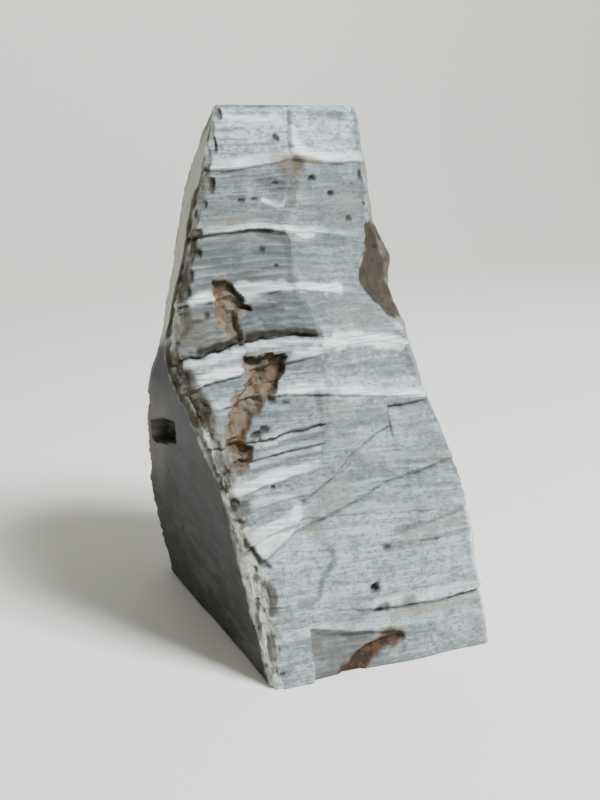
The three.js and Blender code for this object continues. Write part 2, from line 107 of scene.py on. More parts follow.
# Layer lines of the front, from the base up to the top. at: height at the front left arris, the ridge and
# the front right arris; bow: rise of the line in the middle of the left and the right column; lip, cut: how
# far the stone stands out just above the line and is set back just below it, at four stations (front left
# arris, left of the ridge, right of the ridge, front right arris); reach: heights over which the two fade;
# jag: small-scale raggedness of the line in the left and the right column; dull: how weathered the band
# above the line is in the two columns, below 0 how fresh; and the last: how dark the crack under the line
# is painted, with dirt and painted shade under the lip.
LAYERS = [
    dict(at=(0, 0, 0), bow=(0, 0), lip=(0, 0, 0, 0), cut=(0, 0, 0, 0), reach=(1, 1), jag=(0, 0),
         dull=(-0.5, -0.2), dirt_and_shade=(0, 0)),
    dict(at=(12, 14.5, 10), bow=(0, 0), lip=(0.3, 0.3, 0.3, 0.2), cut=(-0.2, -0.1, -0.2, 0),
         reach=(3, 2.5), jag=(0.2, 0.2), dull=(-0.7, -0.6), dirt_and_shade=(0, 0)),
    dict(at=(24.9, 24.8, 19.5), bow=(0, -3.7), lip=(0.3, 0.4, 0.1, 0.6), cut=(-0.4, -0.5, -0.1, -1.1),
         reach=(3, 2.5), jag=(0.4, 0.5), dull=(-0.65, -0.8), dirt_and_shade=(0.2, 0.05)),
    dict(at=(36, 42.3, 37), bow=(0, 0), lip=(0.2, 0.3, 0.1, 0.2), cut=(-0.2, -0.2, -0.1, -0.2),
         reach=(3, 3), jag=(0.3, 0.5), dull=(-0.7, -0.7), dirt_and_shade=(0.05, 0.02)),
    dict(at=(41.8, 49.2, 47), bow=(0, 0), lip=(1.8, 1.9, 0.4, 0.4), cut=(-0.2, -0.3, -0.4, -0.3),
         reach=(3, 3), jag=(0.3, 0.3), dull=(-0.15, -0.1), dirt_and_shade=(0.05, 0.1)),
    dict(at=(51.8, 56.8, 55), bow=(0, 0), lip=(0.5, 0.5, 0.2, 0.2), cut=(-0.3, -0.3, -0.2, -0.2),
         reach=(2.5, 2.5), jag=(0.3, 0.3), dull=(0.1, 0), dirt_and_shade=(0.1, 0)),
    dict(at=(57.4, 63.9, 63), bow=(0.3, 0), lip=(1.9, 1.6, 0.1, 0.3), cut=(1, 0.8, 0, -0.5),
         reach=(2.8, 3), jag=(0.2, 0.3), dull=(0.15, 0.05), dirt_and_shade=(0, 0)),
    dict(at=(65, 71.3, 71.5), bow=(0.7, 0), lip=(0.6, 0.7, 0.1, 0.1), cut=(-1, -1.4, 0, 0),
         reach=(1.6, 2), jag=(0.4, 0.1), dull=(0.2, 0.1), dirt_and_shade=(0.4, 0)),
    dict(at=(72, 76.8, 77.5), bow=(-0.6, 0), lip=(0.8, 0.7, 0.1, 0.1), cut=(-1.2, -1.6, 0, 0),
         reach=(1.8, 2), jag=(0.5, 0.1), dull=(0.3, 0.1), dirt_and_shade=(0.3, 0)),
    dict(at=(81.2, 86.5, 81.8), bow=(1.8, -0.8), lip=(0.9, 1.3, 1.2, 1.2), cut=(-0.4, -0.3, 0, 0),
         reach=(2.4, 2), jag=(0.3, 0.2), dull=(0.1, 0.15), dirt_and_shade=(0, 0)),
    dict(at=(88.2, 98.8, 97.6), bow=(0.3, 2.2), lip=(1.7, 0.7, 0.2, 1.2), cut=(-0.8, -0.6, 0, 0.1),
         reach=(2, 2.4), jag=(0.4, 0.2), dull=(0.15, 0.1), dirt_and_shade=(0.1, 0)),
    dict(at=(95.8, 104.3, 102.6), bow=(2.8, 0), lip=(-1, -1.2, 0.5, 0.6), cut=(-2.4, -3.2, 0, 0),
         reach=(3, 2.6), jag=(1.3, 0.3), dull=(1.2, 0.4), dirt_and_shade=(1.2, 0.1)),
    dict(at=(114.8, 119, 115.2), bow=(0.3, 0), lip=(1.6, 0.5, 1.6, 0.2), cut=(-0.2, 0.2, 0.2, 0),
         reach=(2, 3), jag=(0.3, 0.2), dull=(1, 0.5), dirt_and_shade=(0, 0)),
    dict(at=(137.2, 138.2, 133.3), bow=(0.6, -0.6), lip=(1.5, 1.4, 1.8, 0.1), cut=(-1.3, -1.3, 0.2, 0),
         reach=(2, 1.8), jag=(0.3, 0.2), dull=(0.6, 0.5), dirt_and_shade=(0.9, 0)),
    dict(at=(147.5, 147.5, 144.5), bow=(0, 0), lip=(0, 0, 0.4, 0.4), cut=(0, 0.1, 0.1, 0.1),
         reach=(2.5, 5), jag=(0.2, 0.3), dull=(0.65, 0.5), dirt_and_shade=(0, 0)),
    dict(at=(158.4, 161.3, 159), bow=(-1.2, 0), lip=(1.4, 0.9, 1.1, 1.2), cut=(-0.1, -0.1, -0.2, -0.2),
         reach=(3.5, 3), jag=(0.1, 0.1), dull=(-0.7, -0.95), dirt_and_shade=(0.05, 0.05)),
    dict(at=(HEIGHT, HEIGHT, HEIGHT), bow=(0, 0), lip=(0, 0, 0, 0), cut=(0, 0, 0, 0), reach=(1, 1),
         jag=(0, 0), dull=(0, 0), dirt_and_shade=(0, 0)),
]
BANDS = len(LAYERS) - 1

# Oblique seams of the front. line: (x, height, darkness of its crack, dirt and painted shade); the stone
# under the line is set back by drop, which fades over reach; ends: distance over which it dies out to the
# left and the right.
SEAMS = [
    dict(line=[(-20.2, 54.8, 0.35), (-16.9, 57, 0.4), (-10.3, 60.2, 0.3), (-7.5, 62.4, 0.3),
               (-2.1, 66.8, 0.3), (2, 69.2, 0.3), (9.4, 72.4, 0.35), (14, 73.8, 0.4), (14.6, 79.9, 0.75),
               (21.5, 80, 0.85), (31, 80.2, 0.7)],
         drop=1.9, reach=9.0, ends=(5.0, 20.0)),
    dict(line=[(-36.5, 38.6, 0.3), (-30, 43.6, 0.35), (-26, 46.2, 0.4), (-21, 47.3, 0.5),
               (-12.9, 49.6, 0.45), (-3.3, 52.8, 0.3), (7.4, 57.2, 0.3), (13.3, 58.6, 0.35),
               (19.1, 59.6, 0.6), (29.2, 61.8, 0.6)],
         drop=1.6, reach=10.0, ends=(5.0, 20.0)),
]
SEAM_STEP = 1.6

# Shallow bowls broken out of the front: middle (x, height), half width, half height and depth.
SCOOPS = [
    (10, 170, 13.5, 8.8, 2.4),
    (-16.5, 151, 8, 4.6, 2.2),
    (20, 90, 9, 5, 0.7),
]

# Shallow flake split off the front at the base: its top falls to the right by slope from its height at the
# left end; steep within edge of these two, it fades out over the last part of its length.
FLAKE = dict(left=-25.6, right=17.0, top=16.6, slope=0.21, depth=1.6, fade=30.0, edge=0.4)

# Hollows broken out of a side. outline: (across, height, rim) for each corner, anticlockwise or not, where
# across is x on the front and y on the other sides, and rim is the width of the wall from this corner to
# the next; depth: of the floor; tear: how far the outline wanders; mark: what the floor is stained with,
# or pit for a slot painted dark all over with dirt and painted shade; dark: dirt on its floor; and the
# last: painted shade on its steep walls.
HOLLOWS = [
    dict(side=0, depth=2.6, tear=0.6, mark="iron", dark=0.0, wall=0.8,
         outline=[(-39.2, 122.4, 0.9), (-35.8, 122.6, 0.7), (-32.4, 120.7, 0.7), (-30.6, 118.4, 0.7),
                  (-29.2, 115.1, 0.7), (-26.8, 113.7, 0.7), (-27.5, 112.2, 1.2), (-30.3, 112.6, 1.3),
                  (-32.2, 111.4, 1.3), (-32.2, 109.2, 1.2), (-31.2, 106.5, 1.2), (-30.8, 102.8, 1.3),
                  (-33.3, 101.6, 1.6), (-36.6, 104.9, 1.6), (-37.6, 107.6, 1.4), (-38.6, 109.4, 1.4),
                  (-40, 111.8, 1.2), (-39.2, 117.5, 1.2)]),
    dict(side=0, depth=3.2, tear=0.9, mark="iron", dark=0.2, wall=0.8,
         outline=[(-32.6, 98.6, 0.6), (-18.4, 98.8, 0.8), (-18.9, 95.5, 0.8), (-21.1, 92.4, 0.8),
                  (-22.7, 88.8, 0.9), (-25.1, 86.8, 1.6), (-28.5, 85, 1.8), (-30.4, 81.7, 1.8),
                  (-33.1, 79.2, 1.6), (-35.5, 76.4, 1.8), (-37.2, 73.6, 2), (-35.6, 71.4, 2),
                  (-36.2, 68.2, 2), (-37.4, 65.6, 2.4), (-40.5, 64.6, 2.8), (-44, 66, 3),
                  (-45.2, 70.1, 3), (-44.4, 74, 3), (-42, 77.5, 2.8), (-41, 80.6, 2.6),
                  (-40.7, 83.4, 2.2), (-38, 86.4, 1.8), (-33.8, 88.8, 1.4), (-31.6, 92.1, 1.1),
                  (-33, 94, 1.1)]),
    dict(side=2, depth=1.6, tear=0.7, mark="earth", dark=0.6, wall=0.8,
         outline=[(12.8, 138, 1.2), (20, 138, 2.5), (18.5, 122, 3), (13, 108, 3), (4.5, 105, 3),
                  (-2.8, 106.6, 1.4), (-1.4, 110.9, 1), (-0.4, 114.2, 1), (1.8, 118, 1), (4.7, 122.6, 1),
                  (8.6, 126.3, 1), (11.2, 129.5, 1)]),
    # Deep slot in the left side: its inside is painted dark, dirt and painted shade.
    dict(side=6, depth=6.5, tear=0.4, mark="pit", dark=1.0, wall=1.0,
         outline=[(26.4, 70.2, 0.8), (11.7, 74.7, 0.8), (1.2, 76.6, 0.8), (2.6, 72.2, 0.8), (5, 67.6, 0.8),
                  (18.8, 63.4, 0.8), (28.6, 60.8, 0.8), (28.6, 64.6, 0.8)]),
    dict(side=1, depth=0.9, tear=0.3, mark="rust", dark=0.1, wall=0.35,
         outline=[(-17.4, -0.5, 0.5), (-13.8, 2.6, 0.5), (-10.8, 5.2, 0.5), (-8.2, 7, 0.5), (-3.9, 8.4, 0.5),
                  (0.7, 9.2, 0.5), (7.7, 10, 0.5), (8.2, 7.6, 0.5), (3.6, 6.7, 0.5), (-1.5, 5, 0.5),
                  (-5, 2.6, 0.5), (-8.6, -0.5, 0.5)]),
]

# Upright grooves along the ridge. heights: where each sets in, is full, wanes and ends; depth and width
# of the dent; the last two: strength and width of the dirt and painted shade in it. Widths are half widths.
GROOVES = [
    dict(heights=(160, 165, 176, 179), depth=1.1, width=0.9, dirt_and_shade=0.7, dirt_and_shade_width=0.9),
    dict(heights=(58, 64, 132, 138), depth=0.3, width=0.6, dirt_and_shade=0.25, dirt_and_shade_width=0.5),
]

# Small pits of each side: (across, height, half width, half height, depth), across as for the hollows.
PITS = {
    0: [
        (-36.4, 5, 1.2, 0.6, 0.3), (-10.4, 168.2, 1.3, 1.6, 1.1), (-13.4, 153.6, 1.4, 0.6, 0.5),
        (-26.4, 148, 1.5, 0.9, 0.5), (-21.6, 148.4, 1.5, 0.7, 0.5), (-20.7, 132, 1.1, 1.4, 0.7),
        (-16.4, 126.5, 1, 0.7, 0.4), (-42.2, 111.6, 1.1, 1.3, 0.6), (-31, 60, 1, 0.8, 0.5),
        (-30.2, 76.6, 2.2, 1.2, 0.9), (-33.5, 75.2, 1.9, 1.2, 0.9), (-26.2, 84.9, 2, 1.3, 0.8),
        (-21.5, 84.2, 1.6, 0.6, 0.5), (-36.2, 71.5, 2, 1, 0.7), (-29.2, 176.2, 1.9, 2.4, 1.1),
        (-33.2, 166, 1.4, 3, 1.2), (-36.4, 153.5, 1.9, 3, 1.1), (-39, 147, 1.1, 1.6, 0.8),
        (-42, 138, 1.6, 1.6, 0.9), (-43.2, 131.5, 1.9, 1.9, 1.2), (-46, 124.5, 1.3, 2.6, 0.9),
        (-47.8, 119, 1.8, 2.6, 0.9)],
    1: [
        (-1.1, 25.4, 1.9, 2, 2.6), (-0.7, 18.6, 2, 0.9, 0.5), (1.1, 154.6, 1.9, 1.1, 1),
        (8.8, 149.2, 1.7, 1.1, 1), (22.8, 155, 1.7, 2.2, 0.8), (22.8, 145.4, 1.4, 0.9, 0.4),
        (15.5, 140.4, 1.6, 1.1, 0.6), (23.3, 38.2, 1.3, 0.6, 0.4), (5, 37.6, 2.4, 0.6, 0.3)],
    2: [(13.4, 136, 1.5, 2.6, 0.7)],
    6: [(17.7, 30.7, 1.8, 1.2, 0.6), (-18.2, 8.6, 1.5, 1.3, 0.5)],
}

# Soft patches of colour, for each mark and side: (across, height, half width, half height, strength);
# strength below 0 takes that share of the mark away.
PATCHES = {
    ("crack", 2): [(16, 121, 5, 9, 0.6), (9, 131, 2.4, 5, 0.5)],
    ("crest", 0): [(-7.5, 103.6, 4.5, 2.2, -0.7)],
    ("crest", 1): [(-7, 103.8, 4, 2.4, -0.8)],
    ("dull", 0): [
        (-14, 81, 6, 4, 0.35), (-12.5, 166, 2, 4.5, 0.6), (-52, 103, 4, 4, 0.8), (-12, 111, 5, 8, 0.7),
        (-14, 123, 5, 4, 0.5)],
    ("dull", 1): [
        (-5, 158, 3.4, 3, 0.6), (9, 176.8, 5, 1.8, 0.5), (17, 175.6, 5, 2.4, 0.7), (24.4, 172, 2.4, 5, 0.7),
        (8, 77.5, 9, 4.6, 0.45), (-17, 36.5, 5, 5, 0.3), (16, 155, 10, 4, 0.4), (-4, 112, 5, 7, 0.5),
        (-18, 47.5, 5, 4, 0.5), (25, 108, 4, 9, 0.4)],
    ("earth", 0): [
        (-9.4, 158, 3.4, 4, 0.7), (-50.5, 117, 3.2, 9, 0.7), (-47, 127, 2, 9, 0.8), (-53, 108, 2.6, 6, 0.6),
        (-45.5, 107, 7, 6, 0.22)],
    ("earth", 1): [(-5, 158.4, 4.6, 5.4, 0.85)],
    ("earth", 2): [(23, 124, 9, 18, 1), (16, 112, 4, 8, 1), (10, 106, 3, 4, 0.8)],
    ("earth", 3): [(20, 124, 7, 14, 0.8)],
    ("earth", 6): [(7.4, 127, 2.4, 10, 0.7)],
    ("fresh", 0): [
        (-34, 47, 8, 4, 0.9), (-34, 57, 9, 2.4, 0.5), (-31, 35, 7, 8, 0.7), (-20, 92, 8, 3.2, 0.8),
        (-32, 18, 6, 12, 0.7), (-33, 45.5, 9, 4.6, 1), (-20, 168, 12, 8, 0.4), (-14.5, 154.6, 4.6, 3, 0.7)],
    ("fresh", 1): [
        (12, 30, 20, 5, 0.5), (24, 12, 16, 6, 0.8), (20, 30, 18, 7, 0.6), (-20, 8, 8, 10, 0.7),
        (12, 69, 15, 5, 0.55), (2, 3.4, 7, 3, 0.9)],
    ("iron", 0): [(-44, 68, 6, 5, -0.6), (-45, 76, 4, 7, -0.5)],
    ("rust", 2): [(12, 121, 9, 11, 0.35)],
    ("tan", 0): [
        (-8.8, 158, 2.6, 3.2, 0.7), (-30, 141, 11, 3.2, 0.4), (-43, 72, 5, 8, 0.7), (-31, 43, 6, 2, 0.3),
        (-45.5, 107, 8, 7, 0.35)],
    ("tan", 1): [
        (-5.2, 158.4, 3.6, 4.2, 1), (16, 146, 7, 4, 0.4), (18, 143, 6, 3, 0.3), (10, 172, 5, 6, 0.35),
        (-10.5, 55, 9, 7, 0.4), (22, 76, 8, 3, 0.3), (-19, 46, 3, 2, 0.5), (-5, 81.5, 5, 3.4, 0.4),
        (30, 62, 4, 2, 0.4), (4, 10, 7, 4, 0.25), (10, 110, 12, 6, 0.2)],
}

# Narrow marks, for each mark and side: (half thickness, strength, line of (across, height) points).
STREAKS = {
    ("crack", 0): [
        (1, 1, [(-46, 100.4), (-38, 102.3), (-33, 103.4)]),
        (1.4, 1, [(-29.5, 104.2), (-25, 104.9), (-21, 105.3)]),
        (1.1, 1, [(-21, 104.9), (-14, 105.3), (-8, 105.2)]),
        (0.5, 0.8, [(-22, 75.8), (-17, 76.4), (-11.5, 77)]), (1, 0.35, [(-9.5, 115), (-7, 107.5)]),
        (1.2, 0.4, [(-10.5, 87), (-10.6, 72)]),
        (0.9, 0.3, [(-13, 138), (-11.4, 134.8), (-11.3, 127.4), (-11.8, 121.8), (-11, 117)]),
        (0.5, 0.6, [(-31, 178.7), (-2, 178.7)]), (0.7, 0.6, [(-38, 5.2), (-33.6, 5.9)])],
    ("crack", 1): [
        (0.9, 0.45, [(-5.2, 161.3), (-1.5, 160.6)]), (0.7, 0.5, [(14.6, 80), (13.9, 73.8)]),
        (0.6, 0.4, [(-10, 21), (-8.5, 20.2), (-3.2, 18.6)]),
        (0.6, 0.4, [(-6, 18.9), (2, 18.2), (12, 17.6), (25, 17.8), (37, 18.9)]),
        (0.8, 0.6, [(-27.8, 24.4), (-21.3, 25.3), (-19.5, 30.8), (-14.2, 36.4), (-14.9, 39.4)]),
        (0.7, 0.6, [(8.5, 41.9), (21.3, 43.7), (34.2, 46.4)]),
        (0.6, 0.5, [(4.3, 37.2), (20.9, 38), (36.4, 39.5)])],
    ("crack", 6): [
        (0.9, 0.5, [(21.4, 54), (18.4, 48.8), (14.5, 45.7)]), (0.9, 0.3, [(8.8, 21.1), (-5.6, 21.1)]),
        (0.9, 0.35, [(-0.1, 94.7), (-7.4, 87.6), (-10, 80)]), (1.2, 0.35, [(38, 20), (24, 10)])],
    ("crest", 0): [
        (0.5, 1, [(-18.6, 148), (-16, 146.8), (-13.4, 146), (-11.4, 146.4), (-10.4, 147.8)]),
        (0.7, 0.8, [(-29, 175.2), (-19, 174.5), (-7, 173.8)]),
        (0.8, 1, [(-52, 95.4), (-43.3, 97.7), (-33.5, 99.2)]),
        (1, 1, [(-49, 91.2), (-42.2, 93.2), (-34.5, 95)]),
        (0.8, 1, [(-31, 101.6), (-19.8, 103), (-14, 103.4)]), (1.3, 1, [(-47, 116), (-41, 117.8)]),
        (1, 1, [(-14, 98.8), (-8.6, 99.4)]), (0.8, 0.8, [(-29, 118.3), (-21, 119), (-12, 119.8)]),
        (1.4, 1, [(-42.5, 43), (-33, 46.6), (-23.8, 50.6)]),
        (1.3, 0.8, [(-39.5, 40), (-33, 43.4), (-27.5, 47)]), (0.8, 0.9, [(-29.9, 120.3), (-14.9, 120.5)]),
        (1.1, 1, [(-44.5, 59), (-36, 61.3), (-27, 63.4), (-18.5, 64.8)]),
        (1, 1, [(-19.5, 87.6), (-13, 88.2), (-9, 88.2)]), (1, 0.9, [(-40, 46), (-32, 49), (-25, 51)])],
    ("crest", 1): [
        (1.2, 1, [(-3.2, 171), (-3.7, 167.2), (-2.6, 164.6), (0, 163.1), (3.5, 162.2), (9, 161.6)]),
        (0.8, 1, [(-2, 87), (0, 86.5), (10, 84.6), (20, 83.2), (30, 82.2)]),
        (1, 1, [(-5.3, 101.9), (4.5, 101), (16.3, 99.9), (26.2, 98.3)]),
        (0.9, 1, [(-10.6, 119.8), (-1.7, 118.9), (6, 117.7)]),
        (0.8, 1, [(-10, 137.4), (-6.2, 136.7), (-1, 136)]),
        (1.1, 0.9, [(0, 103.8), (9.5, 102.5), (25.2, 99.7)]),
        (0.8, 0.5, [(-2, 20.4), (12.5, 20.1), (24.7, 20.8), (36, 21.4)]),
        (0.9, 0.9, [(39.4, 1), (37.8, 28), (36.4, 46)])],
    ("crest", 2): [(0.8, 0.9, [(-51.9, 1), (-44.6, 31)])],
    ("crest", 6): [(0.8, 0.35, [(1.5, 34.9), (-8, 37.5)])],
    # Grey streaks just under two layer lines: painted shade under their lips.
    ("dull", 0): [
        (1.2, 0.7, [(-31, 71), (-20, 73.4), (-11, 74.6)]),
        (1.1, 0.8, [(-18.5, 95.2), (-13, 96.6), (-9, 97.4)])],
    ("dull", 1): [
        (1, 0.8, [(24.6, 176), (23.4, 165), (23, 155), (22.2, 146), (21, 138)]),
        (2, 0.9, [(20.5, 114), (24, 106), (27.5, 98), (29.6, 90)])],
    ("earth", 0): [
        (1.4, 0.5, [(-8.2, 160.6), (-9, 155.5)]),
        (0.9, 1, [(-42.9, 45), (-41.2, 42), (-38.1, 38.3), (-36, 36.6)]),
        (1.8, 0.95, [(-44, 55.6), (-42, 54.4)]),
        (0.8, 0.9, [(-38.4, 31.6), (-36.9, 29.6), (-36.5, 26.4), (-37.4, 23)]),
        (1.7, 0.9, [(-40.2, 14), (-39, 10.4)]),
        (1.2, 1, [(-43.6, 138.4), (-45.6, 131.4), (-48.4, 124), (-51, 117)]),
        (1.8, 0.8, [(-49.6, 112), (-50.6, 106.6)]),
        (1.7, 0.9, [(-50.6, 94.4), (-49.4, 90), (-48.4, 85), (-48.4, 79)]),
        (1.4, 0.8, [(-48.2, 78), (-47.2, 70), (-46.4, 62)])],
    ("earth", 1): [
        (1.4, 0.55, [(-8, 160.8), (-7.4, 153), (-8.4, 147)]), (1.2, 0.7, [(9.8, 19), (11.6, 19)]),
        (0.9, 0.9, [(-0.4, 18.8), (2, 18.9)])],
    ("earth", 6): [
        (1.6, 0.6, [(-26.5, 53), (-28, 50)]), (1.2, 0.8, [(-41, 21), (-43.8, 17)]),
        (1.9, 1, [(4.6, 106), (6.6, 115), (9, 126), (10.6, 134), (12, 140), (14, 150)]),
        (1.3, 0.75, [(-15.4, 76), (-21.6, 66), (-26, 60)])],
    ("fresh", 0): [(2.6, 1, [(-40.5, 41), (-33, 45), (-25.5, 49)])],
    ("fresh", 1): [(2, 1, [(-6, 90.4), (0, 88.8), (10, 86.9), (20, 85.5), (30, 84.5)])],
    ("rust", 1): [(1.4, 1, [(-14.5, 0.6), (-11, 3.6), (-7, 6), (-1, 7.6), (6.4, 8.8)])],
    ("tan", 0): [(1.1, 0.8, [(-12.6, 160.6), (-8, 161)])],
    ("tan", 1): [
        (0.9, 0.9, [(-5.4, 161.8), (-1, 160.9), (4, 160.4)]),
        (1.2, 0.7, [(4, 16.4), (14, 15.6), (25, 15.8), (37, 17)]),
        (1.4, 0.5, [(12, 41), (22, 41.4), (34, 43.4)]), (1.2, 0.9, [(39.4, 1), (38.8, 8)])],
}

# ---- small-scale finish: heights, sizes and widths in mm -------------------------------------------

# Unevenness along a line: (level, swing, size) stands for the level plus the swing times noise of that size.
LINE_WANDER = (0, 0.7, 11.0)    # how far a layer line strays from its straight course
TEETH_PATCHY = (0.6, 0.8, 9)    # stretches of a line with and without teeth
LIP_UNEVEN = (1, 0.4, 4.5)
CUT_UNEVEN = (1, 0.4, 5.0)
CREST_PATCHY = (0.75, 0.9, 6)   # patches of bruise and painted highlight on the lips
DIRT_AND_SHADE_UNEVEN = (0.75, 0.7, 3)    # thickness of the dirt and painted shade under a lip
DIRT_AND_SHADE_PATCHY = (0.85, 0.9, 4)
SEAM_WANDER = (0, 0.5, 3)
SEAM_PATCHY = (0.8, 0.5, 2.5)
SHEET_WANDER = (0, 0.8, 9)      # rise and fall of the thin sheets
SHEET_PATCHY = (0.45, 0.9, 8)
CHIP_LONG = (1, 0.4, 7)         # long and short chips of a broken arris
CHIP_SHORT = (0, 0.25, 2.2)
CLEAN_PATCHY = (0, 1, 5)        # clean stretches of the broken left arris
RIM_WANDER = (0, 3, 8)          # edge of the rubbed skin

JAG_SIZE = 3.4              # length of the teeth of a ragged layer line
JAG_GAIN = 0.7              # height of each finer set of teeth, as a share of the last
TEETH_END = 0.06            # share of a column over which the teeth die out at its ends
LIP_DEPTH_SIZE = 20.0       # size of a lip's unevenness from front to back
CREST_LIP = 1.6             # height of a lip that gets bruise and painted highlight all over
CREST_START = (0.3, 0.55)   # shares of the reach over which the bruise and painted highlight start and end
CREST_END = (1.1, 0.85)
CREST_SLOPE = 0.3           # slope of a cut from which on it gets bruise and painted highlight
CREST_GAIN = 1.5            # how fast the bruise and painted highlight get stronger with the slope
CREST_LIMITS = (0.1, 1)     # least and most of the bruise and painted highlight, as a share, for its patchiness
CRACK_WIDTH = 1.5           # height of the dirt and painted shade under a layer's lip
CRACK_THIN = 0.5            # its share where there is little dirt and painted shade
CRACK_LIMITS = (0.3, 1.15)  # least and most of that dirt and painted shade, as a share, for its patchiness
SEAM_DIRT_AND_SHADE_DEPTH = 0.6       # middle of the dirt and painted shade below the seam
SEAM_DIRT_AND_SHADE_WIDTH = (1.1, 0.7)    # its half width where it is pale and where it is dark
FLAKE_TEAR = 0.5            # how far the flake's edge wanders
FLAKE_TEAR_SIZE = 4
TEAR_SIZE = 3.0             # size of the teeth of a hollow's outline
STEEP_RIM = 1.0             # rims up to this width are steep walls
FLOOR_ROUGH = 0.3           # roughness of a hollow's floor, as a share of its depth
FLOOR_SIZE = 3.2
STAIN_EDGE = 0.5            # half the width over which a hollow's stain sets in
SOIL_ROUGH = 0.9            # unevenness of the dirt on a hollow's floor
SOIL_SIZE = 5.0
SOIL_MOST = 1.6             # most of it, as a share
WALL_SHADE = (2.3, 1.0)      # distance from a steep wall's edge over which its painted shade sets in
WALL_EDGE = (-0.4, 0.2)     # distance inside the outline over which it does
PIT_FRAY = 0.3              # unevenness of a pit's outline, as a share of its size
PIT_FRAY_SIZE = 1.1
PIT_WALL = (1.0, 0.3)       # shares of the size over which a pit falls to its depth
PIT_DIRT_AND_SHADE = (1.2, 0.6)       # and over which its dirt and painted shade set in
PIT_DARK = 0.95             # darkness of that dirt and painted shade
FRAY = 0.5                  # fraying of the painted patches and streaks
FRAY_SIZE = 4.0
PATCH_GAIN = 1.2            # makes the middle of a patch even
PATCH_LIMIT = 1.5           # square of a frayed patch's size at most, as a share of the plain one's
STREAK_FADE = (2, 0.6)      # from and to these multiples of the half thickness a streak sets in
BEVEL_WIDTH = 2.3           # width of a broken arris on either side, as a multiple of its depth
BEVEL_EDGE = 0.25           # share of the bevel over which its rough face sets in
BREAK_ROUGH = 0.4           # roughness of a broken arris, as a share of its depth
BREAK_SIZE = 3.0
BREAK_DEPTH = 2             # deeper than this it gets no rougher
BREAK_PITTED = (0.35, 0.9)  # roughness over which its dents turn dark
BREAK_DARK = 0.85           # and how dark they get
BREAK_CLEAN = 0.8           # share of the layers' dirt and painted shade that is broken off with the arris
UPPER_BROKEN = 0.25         # crushed look of the upper part of the left arris
UPPER_DIRT = 0.7            # dirt on it
UPPER_CLEAN = (-0.5, 0.3)   # unevenness over which that dirt sets in
BROKEN_HEIGHTS = (104, 118)     # where the crushed look thins out
SOIL_HEIGHTS = (74, 80, 98, 108)    # where the left arris is full of dirt
UPPER_HEIGHTS = (114, 120)      # where its upper dirt sets in
LUMP_RATIO, LUMP_SHARE = 2.3, 0.5   # fineness and height of the finer lumps behind
SHEET = 2.3                 # thickness of the thin sheets whose edges streak the front
SHEET_HEIGHT = 0.3
SHEET_WANDER_HEIGHT = 7     # height over which their rise and fall changes
SHEET_EDGE, SHEET_UNDER = 0.3, 0.25     # shares of a sheet: its pale lower edge, a painted highlight, and the dark line under the next, dirt and painted shade
SHEET_MARK = 0.3            # strength of the two
BROKEN_BAND = 11            # the broken zone is the left column of this band
BROKEN_ZONE_END = 3         # distance from the ridge over which it dies out
BROKEN_HEIGHT = 0.6         # its roughness
BROKEN_SIZE = 4.5
BROKEN_FLAT = 1.6           # how much wider than high its dents are
BROKEN_DENTS = (0.1, 1.0)   # roughness over which its dents turn dark
BROKEN_DARK = 0.5           # and how dark they get
FINE_HEIGHT = 0.09          # fine roughness all over
FINE_SIZE = 2.6
SKIN_FINE = 3               # how much more of it the rough skin has
TOP_SIZES = (0.985, 0.955, 0.91, 0.85, 0.78, 0.7, 0.6, 0.5, 0.4, 0.3, 0.2, 0.1)
TOP_WAVE = 0.12             # height of the waves of the sawn top
TOP_WAVE_SIZE = 14.0
TOP_RIM = 0.9               # size of the ring where the rim's dirt ends and the waves are full
TOP_DIRT = 0.35             # dirt of the top's rim
SHARP_ANGLE = 40.0          # degrees between faces that meet in a sharp edge

# How the sides are painted: heights and distances over which a mark sets in, tears and their sizes.
NEAR_FRONT = (1.0, 0.7, 0.7)    # how streaked by the thin sheets the two columns and the right side are
SKIN_TEAR, SKIN_TEAR_SIZE = 4, 8.0                  # torn line between the left skin's dark lower part
SKIN_HEIGHTS, DUSTY_HEIGHTS = (105, 99), (99, 109)  # and its dusty upper part
SHADED_FOOT_HEIGHTS = (85, 5)                              # down which the dark part gets darker, as painted shade towards the base
RIM_HEIGHTS, RIM_DISTANCE = (35, 55, 76, 90), (24, 13)  # its rubbed far rim, and how far that comes in
LAP_DISTANCE, LAP_TEAR, LAP_TEAR_SIZE = (9, 3), 5, 9.0  # how far it laps over the far arris

MARKS = ("stone", "front", "dull", "fresh", "crest", "iron", "rust", "broken", "earth", "skin", "rough_skin",
         "rim_skin", "dusty", "shaded_foot", "flake", "sawn", "tan", "crack")


# ---- number helpers --------------------------------------------------------------------------------
# Where noise is used, numbers that are added to a place, or that multiply the number of a layer, a band
# or an arris, only choose another stretch of it.

def smooth_step(low, high, value):
    """0 below low, 1 above high, and 3t^2 - 2t^3 of the share t between them."""
    t = np.clip((value - low) / (high - low), 0.0, 1.0)
    return t * t * (3.0 - 2.0 * t)


def between(stops, value):
    """Rises by smooth_step from the first stop to the second and falls from the third to the fourth."""
    return smooth_step(stops[0], stops[1], value) * smooth_step(stops[3], stops[2], value)


def bell(distance, width):
    """Bell curve: exp(-t^2) of the distance t in widths."""
    return np.exp(-(distance / width) ** 2)


def mix(a, b, share):
    """Straight-line mix: a at share 0, b at share 1."""
    return a + (b - a) * share


